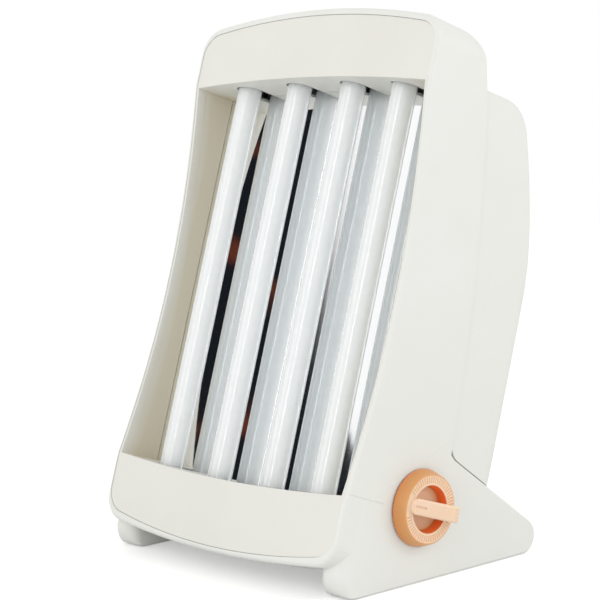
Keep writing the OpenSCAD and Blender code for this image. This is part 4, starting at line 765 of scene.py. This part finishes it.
# Fine lines round the grip's tail, by their distance from it, and the ring's angle there that has no ticks
LINES, LINE_HALF, LINE_DEEP, TAIL_ANGLE = (0.75, 1.55, 2.35), 0.28, 0.22, 0.31
GRIP_W, GRIP_RISE, GRIP_TAIL, GRIP_NOSE, GRIP_EDGE = 10.0, 8.4, 17.5, 19.5, 1.3
DISH_FLOOR = KNOB_H - DISH_DEEP


def on_knob(down, back, out):
    """Down along the tubes, into the body and out from the wall, in mm from the knob's foot, to metres."""
    return placed(KNOB_X + out, KNOB_V + back, KNOB_U - down)


def eased(x, a, b):
    """A smooth step from nought at a to one at b: three squares less two cubes of the way between."""
    t = np.clip((x - a) / (b - a), 0, 1)
    return t * t * (3 - 2 * t)


q = np.radians(np.linspace(0, 90, 6))
profile = np.vstack([
    [(0.5, 0.0), (6.0, 0.0), (6.0, 0.8), (21.5, 0.8), (21.5, 0.0), (KNOB_R - 0.3, 0.0)],
    np.column_stack([KNOB_R - 0.3 + 0.3 * np.sin(q), 0.3 - 0.3 * np.cos(q)]),
    [(KNOB_R, 1.1), (KNOB_R - 0.12, 1.5)],
    np.linspace((KNOB_R - 0.2, 1.8), (RING_R + 0.55, KNOB_H - 1.1), 8),
    np.column_stack([RING_R - 0.4 + 0.9 * np.cos(q), KNOB_H - 0.95 + 0.95 * np.sin(q)]),
    np.linspace((20.3, KNOB_H), (15.2, KNOB_H), 34),
    np.column_stack([DISH_R + 0.6 - 0.6 * np.sin(q), KNOB_H - 0.6 + 0.6 * np.cos(q)]),
    np.linspace((DISH_R - 0.05, KNOB_H - 1.2), (DISH_R - 0.55, DISH_FLOOR + 1.4), 5),
    np.column_stack([DISH_R - 1.8 + 1.2 * np.cos(q), DISH_FLOOR + 1.2 - 1.2 * np.sin(q)]),
    [(9.0, DISH_FLOOR), (4.0, DISH_FLOOR), (0.5, DISH_FLOOR)]])
a = np.linspace(0, 2 * np.pi, TICKS * 10, endpoint=False)[None, :]
r, h = profile[:, :1] + 0 * a, profile[:, 1:] + 0 * a
on_ring = h > KNOB_H - 0.01
tail_off = np.abs((a - 1.5 * np.pi + np.pi) % (2 * np.pi) - np.pi)
wave = np.clip(1.7 * (0.5 + 0.5 * np.cos(a * TICKS)) - 0.55, 0, 1)
ticks = wave * eased(r, TICK_IN, TICK_IN + TICK_END) * (1 - eased(r, TICK_OUT - TICK_END, TICK_OUT))
ticks = ticks * eased(tail_off, TAIL_ANGLE, TAIL_ANGLE + 0.03)
down, back = r * np.cos(a), r * np.sin(a)
past = np.hypot(down, np.minimum(back + GRIP_TAIL - GRIP_W / 2, 0)) - GRIP_W / 2
lines = sum(np.clip(1 - np.abs(past - far) / LINE_HALF, 0, 1) for far in LINES) * (tail_off < TAIL_ANGLE)
h = h - np.where(on_ring, TICK_DEEP * ticks + LINE_DEEP * np.clip(lines, 0, 1), 0)
knob = sheet_mesh("knob_moulding", on_knob(down, back, h), around=True, caps="flat")

# The grip bar is its side outline carried across, drawn in at its long edges and round its tail
side_line = rounded([(-GRIP_TAIL, 1.0, 0), (GRIP_NOSE, 1.0, 0), (GRIP_NOSE, KNOB_H + GRIP_RISE - 1.5, 2.5),
                     (13.0, KNOB_H + GRIP_RISE, 3.0), (2 - GRIP_TAIL, KNOB_H + 2, 2.5),
                     (-GRIP_TAIL, KNOB_H + 1, 1.5)], 4.0)
side_out = outward(side_line)
at_nose = eased(side_line[:, 0], 15.5, 17.2) * eased(side_line[:, 1], 9.8, 11.0)
at_tail = np.clip(-side_line[:, 0] / GRIP_TAIL, 0, 1) ** 2 * np.clip(-side_out[:, 0] * 1.4 + 0.15, 0, 1)
half, GROOVE, grid = GRIP_W / 2, 0.65, []
bends = np.radians(np.linspace(0, 90, 9)[1:])
steps = [(share, 0.0) for share in np.linspace(-1, 1, 37)]
for share, bend in [(-1.0, b) for b in bends[::-1]] + steps + [(1.0, b) for b in bends]:
    across = (half - GRIP_EDGE) * share + math.copysign(GRIP_EDGE * math.sin(bend), share)
    inset = GRIP_EDGE * (1 - math.cos(bend))
    groove = max(0.0, 1 - min(abs(across - c) for c in (-2.5, 0.0, 2.5)) / GROOVE)
    p = side_line - side_out * (inset + GROOVE * groove * at_nose)[:, None]
    p[:, 0] += at_tail * (half - math.sqrt(max(0.0, half ** 2 - across ** 2)))
    grid.append(on_knob(across, p[:, 0], p[:, 1]))
grip = sheet_mesh("grip", grid, around=True, caps="flat")


def tool(name, outline, low, high, place):
    """A cutting prism: an outline carried between two heights by the given placing, faces outwards."""
    outline = np.asarray(outline, dtype=float)
    grid = [place(outline[:, 0], outline[:, 1], level) for level in (low, high)]
    return faced_out(sheet_mesh(name, grid, around=True, caps="flat"))


carved(faced_out(knob), faced_out(grip), "UNION")
# The index slot keeps its depth under the grip's rising top
SLOT_FROM, SLOT_TO, SLOT_DEEP, SLOT_HALF = -14.9, -7.1, 0.75, 0.6
low_top, high_top = KNOB_H + 2 + (GRIP_RISE - 2) * np.array([0.6, 8.4]) / 28.5
slot = [(SLOT_FROM, low_top - SLOT_DEEP), (SLOT_TO, high_top - SLOT_DEEP), (SLOT_TO, high_top + 3),
        (SLOT_FROM, low_top + 3)]
carved(knob, tool("slot", slot, -SLOT_HALF, SLOT_HALF, lambda back, out, down: on_knob(down, back, out)),
       "DIFFERENCE")
arrow = [(0.0, -17.0), (1.0, -15.7), (-1.0, -15.7)]
carved(knob, tool("arrow", arrow, KNOB_H + 1.55, KNOB_H + 5, on_knob), "DIFFERENCE")
SHAFT_R, SHAFT_FLAT = 3.03, -2.23
shaft_hole = arc(0, 0, SHAFT_R, 0, 360, 40)
shaft_hole[:, 1] = np.maximum(shaft_hole[:, 1], SHAFT_FLAT)
carved(knob, tool("shaft_hole", shaft_hole, -1.0, KNOB_H, on_knob), "DIFFERENCE")
smooth_faces(knob, 38)

# Painted shade on the moulding: a deeper, darker orange down the tapered wall and in the dish's wall, a dark
# brown painted shadow line round the wall's foot, painted shade in the tick grooves and towards the grip's
# foot; the ring, the dish's floor and the grip's top keep the pale peach
x, v, u = in_body(knob)
r, out = np.hypot(v - KNOB_V, u - KNOB_U), x - KNOB_X
in_grip = (np.abs(u - KNOB_U) < GRIP_W / 2 + 0.01) & (out > DISH_FLOOR + 0.1) & (r < DISH_R + 6)
painted_shade = np.where(r > 20.5, 0.65 - 0.2 * out / KNOB_H, 0.0)
# A dark brown painted shadow where the wall's foot meets the side wall
painted_shade = np.where((r > 20.5) & (out < 0.45), 1.0, painted_shade)
# Painted shade in the dish's wall, with the floor kept nearly pale
painted_shade = np.where((r < DISH_R + 0.2) & (out < KNOB_H - 0.3),
                np.maximum(0.12, 0.9 * eased(r, 12.0, 13.9)), painted_shade)
sunk = np.clip((KNOB_H - 0.03 - out) / TICK_DEEP, 0, 1)
# Painted shade in the tick grooves, by how far each is sunk
painted_shade = np.where((r > TICK_IN - 0.5) & (r < TICK_OUT + 0.4), 0.25 * sunk, painted_shade)
# Painted shade on the grip, darker towards its foot in the dish
painted_shade = np.where(in_grip, np.clip(0.30 - 0.05 * (out - 4), 0.0, 0.30), painted_shade)
numbered(knob, "depth", painted_shade)
knob_peach, n, l, shader, where = finish_nodes(
    "knob_peach", (0.90, 0.52, 0.31), 0.36, Subsurface_Weight=0.4, Subsurface_Radius=(0.006, 0.0025, 0.001),
    Subsurface_Scale=0.6)
# The ramp runs from the pale peach through the painted shade's deeper oranges to the painted shadow's dark
# brown
peach_and_painted_shade = ramped(n, l, number_of(n, "depth"), [
    (0.0, (0.90, 0.680, 0.50)), (0.45, (0.73, 0.37, 0.135)), (0.65, (0.67, 0.27, 0.08)),
    (0.90, (0.92, 0.20, 0.045)), (1.0, (0.30, 0.11, 0.04))])
drift = ramped(n, l, noise_at(n, l, where, 60.0, 2.0), [(0.0, (0.97, 0.96, 0.95)), (1.0, (1.0, 1.0, 1.0))])
multiplied(n, l, peach_and_painted_shade, drift, shader.inputs["Base Color"])
fine = noise_at(n, l, where, 1600.0, 2.0)
ranged(n, l, shader, fine, 0.32, 0.42)
raised(n, l, shader, [fine], [0.000008])
wear_material(knob, knob_peach)
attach(knob, "knob")
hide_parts("timer_knob")

# Back cover: a fine-textured white moulding behind the lamp, screwed to four posts of the housing.
# The construction's form is kept, with its edges rounded in the shading alone.
cover_white = moulded_plastic("cover_white", SHELL_WHITE, 0.5, 0.00002, 900.0, edge=0.0007)
cover = merged_copy("rear_cover", "back_cover")
smooth_faces(cover)
wear_material(cover, cover_white)
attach(cover, "lamp_body")
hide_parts("back_cover")

# Grommet and screws: a soft black ring in the inlet, and cross-recessed zinc-plated screws
# that hold the cover, the chassis, the chokes and the timer.
dress(rubber_black, "cord_grommet")
screw_zinc = plated_sheet("screw_zinc", (0.56, 0.56, 0.55), (150.0, 150.0, 150.0))
dress(screw_zinc, "cover_screws", "chassis_screws", "choke_screws", "timer_screws")

# Studio: a pale floor that keeps the shadow, an even white surround, the camera, and three soft lamps.
# The floor is a flat disc, as rings of growing radius in metres.
a, r = np.linspace(0, 2 * np.pi, 96, endpoint=False), np.array([0.0001, 0.2, 0.6, 1.4, 3.0])[:, None]
floor = sheet_mesh("floor", np.stack([r * np.cos(a), r * np.sin(a), 0 * r * a], axis=-1), around=True)
floor_pale, n, l, shader, where = finish_nodes("floor_pale", (0.86, 0.86, 0.86), 0.9,
                                               Specular_IOR_Level=0.1)
# The camera sees the floor with a glow added, which brings it near the surround's white
ray = n.new("ShaderNodeLightPath")
glow = n.new("ShaderNodeEmission")
glow.inputs["Strength"].default_value = 0.34
both = n.new("ShaderNodeAddShader")
choose = n.new("ShaderNodeMixShader")
l.new(ray.outputs["Is Camera Ray"], choose.inputs["Fac"])
l.new(shader.outputs["BSDF"], choose.inputs[1])
l.new(shader.outputs["BSDF"], both.inputs[0])
l.new(glow.outputs["Emission"], both.inputs[1])
l.new(both.outputs["Shader"], choose.inputs[2])
l.new(choose.outputs["Shader"], n["Material Output"].inputs["Surface"])
wear_material(floor, floor_pale)

# The surround is plain white to the camera and in gloss, and lights all else a little warmer and dimmer
world = bpy.data.worlds.new("even_white")
world.use_nodes = True
n, l = world.node_tree.nodes, world.node_tree.links
sky = n["Background"]
sky.inputs["Color"].default_value = (1.0, 0.990, 0.970, 1.0)
sky.inputs["Strength"].default_value = 0.80
plain = n.new("ShaderNodeBackground")
plain.inputs["Strength"].default_value = 1.0
plain.inputs["Color"].default_value = (1.0, 1.0, 1.0, 1.0)
ray, choose, either = n.new("ShaderNodeLightPath"), n.new("ShaderNodeMixShader"), n.new("ShaderNodeMath")
either.operation = "MAXIMUM"
l.new(ray.outputs["Is Camera Ray"], either.inputs[0])
l.new(ray.outputs["Is Glossy Ray"], either.inputs[1])
l.new(either.outputs["Value"], choose.inputs["Fac"])
l.new(sky.outputs["Background"], choose.inputs[1])
l.new(plain.outputs["Background"], choose.inputs[2])
l.new(choose.outputs["Shader"], n["World Output"].inputs["Surface"])
bpy.context.scene.world = world

# The camera fitted to the photograph: angles in radians, place in metres, focal length and width in pixels
AZIMUTH, ELEVATION, ROLL, PLACE = 0.836, 0.105, -0.028, (0.87978, -0.81023, 0.29119)
FOCAL, WIDE, SENSOR = 1870.5, 600.0, 36.0
back = np.array([math.sin(AZIMUTH) * math.cos(ELEVATION), -math.cos(AZIMUTH) * math.cos(ELEVATION),
                 math.sin(ELEVATION)])
right = np.array([math.cos(AZIMUTH), math.sin(AZIMUTH), 0.0])
above = np.cross(back, right)
turn_right = right * math.cos(ROLL) + above * math.sin(ROLL)
turn_up = -right * math.sin(ROLL) + above * math.cos(ROLL)
camera_data = bpy.data.cameras.new("camera")
camera_data.sensor_width, camera_data.sensor_fit = SENSOR, "HORIZONTAL"
camera_data.lens = FOCAL / WIDE * SENSOR
camera_data.clip_start, camera_data.clip_end = 0.05, 20.0
camera = linked("camera", camera_data)
camera.matrix_world = Matrix.Translation(PLACE) @ Matrix(
    np.column_stack([turn_right, turn_up, back]).tolist()).to_4x4()
bpy.context.scene.camera = camera

# Broad lamps for the side wall and for the front, and a tall narrow one that draws the tubes' streaks, all
# turned to the lamp's middle: place, width and height in metres, and power in watts
AIM = Vector((0, 0, 0.17))
for name, place, width, height, power in (("side_lamp", (1.5, 0.95, 0.85), 1.2, 1.2, 7.0),
                                          ("front_lamp", (-0.7, -1.6, 1.0), 1.2, 1.2, 3.4),
                                          ("streak_lamp", (0.63, -1.73, 0.945), 0.36, 1.3, 6.0)):
    lamp_data = bpy.data.lights.new(name, "AREA")
    lamp_data.shape, lamp_data.size, lamp_data.size_y, lamp_data.energy = "RECTANGLE", width, height, power
    face = (Vector(place) - AIM).to_track_quat("Z", "Y").to_matrix().to_4x4()
    linked(name, lamp_data).matrix_world = Matrix.Translation(place) @ face

# A dark panel far to the left of the camera, seen only in the mirror and in gloss, as the unlit end of a
# studio: a patch of a sphere between two heights in degrees, from a slanting edge to PANEL_END
PANEL_R, PANEL_END = 7.0, 66.0
height, out = np.meshgrid(np.linspace(4, 30, 14), np.linspace(0, 1, 12), indexing="ij")
edge = np.interp(height, [4, 12.5, 14.6, 16, 18.6, 21.8, 30], [43, 45.5, 47.6, 49.0, 50.0, 51.0, 53.5])
side, rise = np.radians(edge + (PANEL_END - edge) * out), np.radians(height)
panel = sheet_mesh("dark_panel", np.stack([-PANEL_R * np.sin(side) * np.cos(rise),
                                           -PANEL_R * np.cos(side) * np.cos(rise),
                                           AIM.z + PANEL_R * np.sin(rise)], axis=-1))
panel_dark, n, l, shader, where = finish_nodes("panel_dark", (0.015, 0.017, 0.02), 0.9,
                                               Specular_IOR_Level=0.0)
# The panel glows faintly in its own charcoal and dark reddish-brown patches, which the mirror shows as
# painted reflections whatever the lamps do
painted_reflection_patch = noise_at(n, l, where, 4.5, 1.0)
tone = tinted(n, l, shader, painted_reflection_patch, (0.008, 0.010, 0.013), (0.100, 0.026, 0.014), 0.62, 0.74)
l.new(tone, shader.inputs["Emission Color"])
shader.inputs["Emission Strength"].default_value = 0.3
wear_material(panel, panel_dark)
panel.visible_camera = panel.visible_diffuse = panel.visible_shadow = panel.visible_transmission = False

bpy.context.scene.view_settings.view_transform = "Standard"
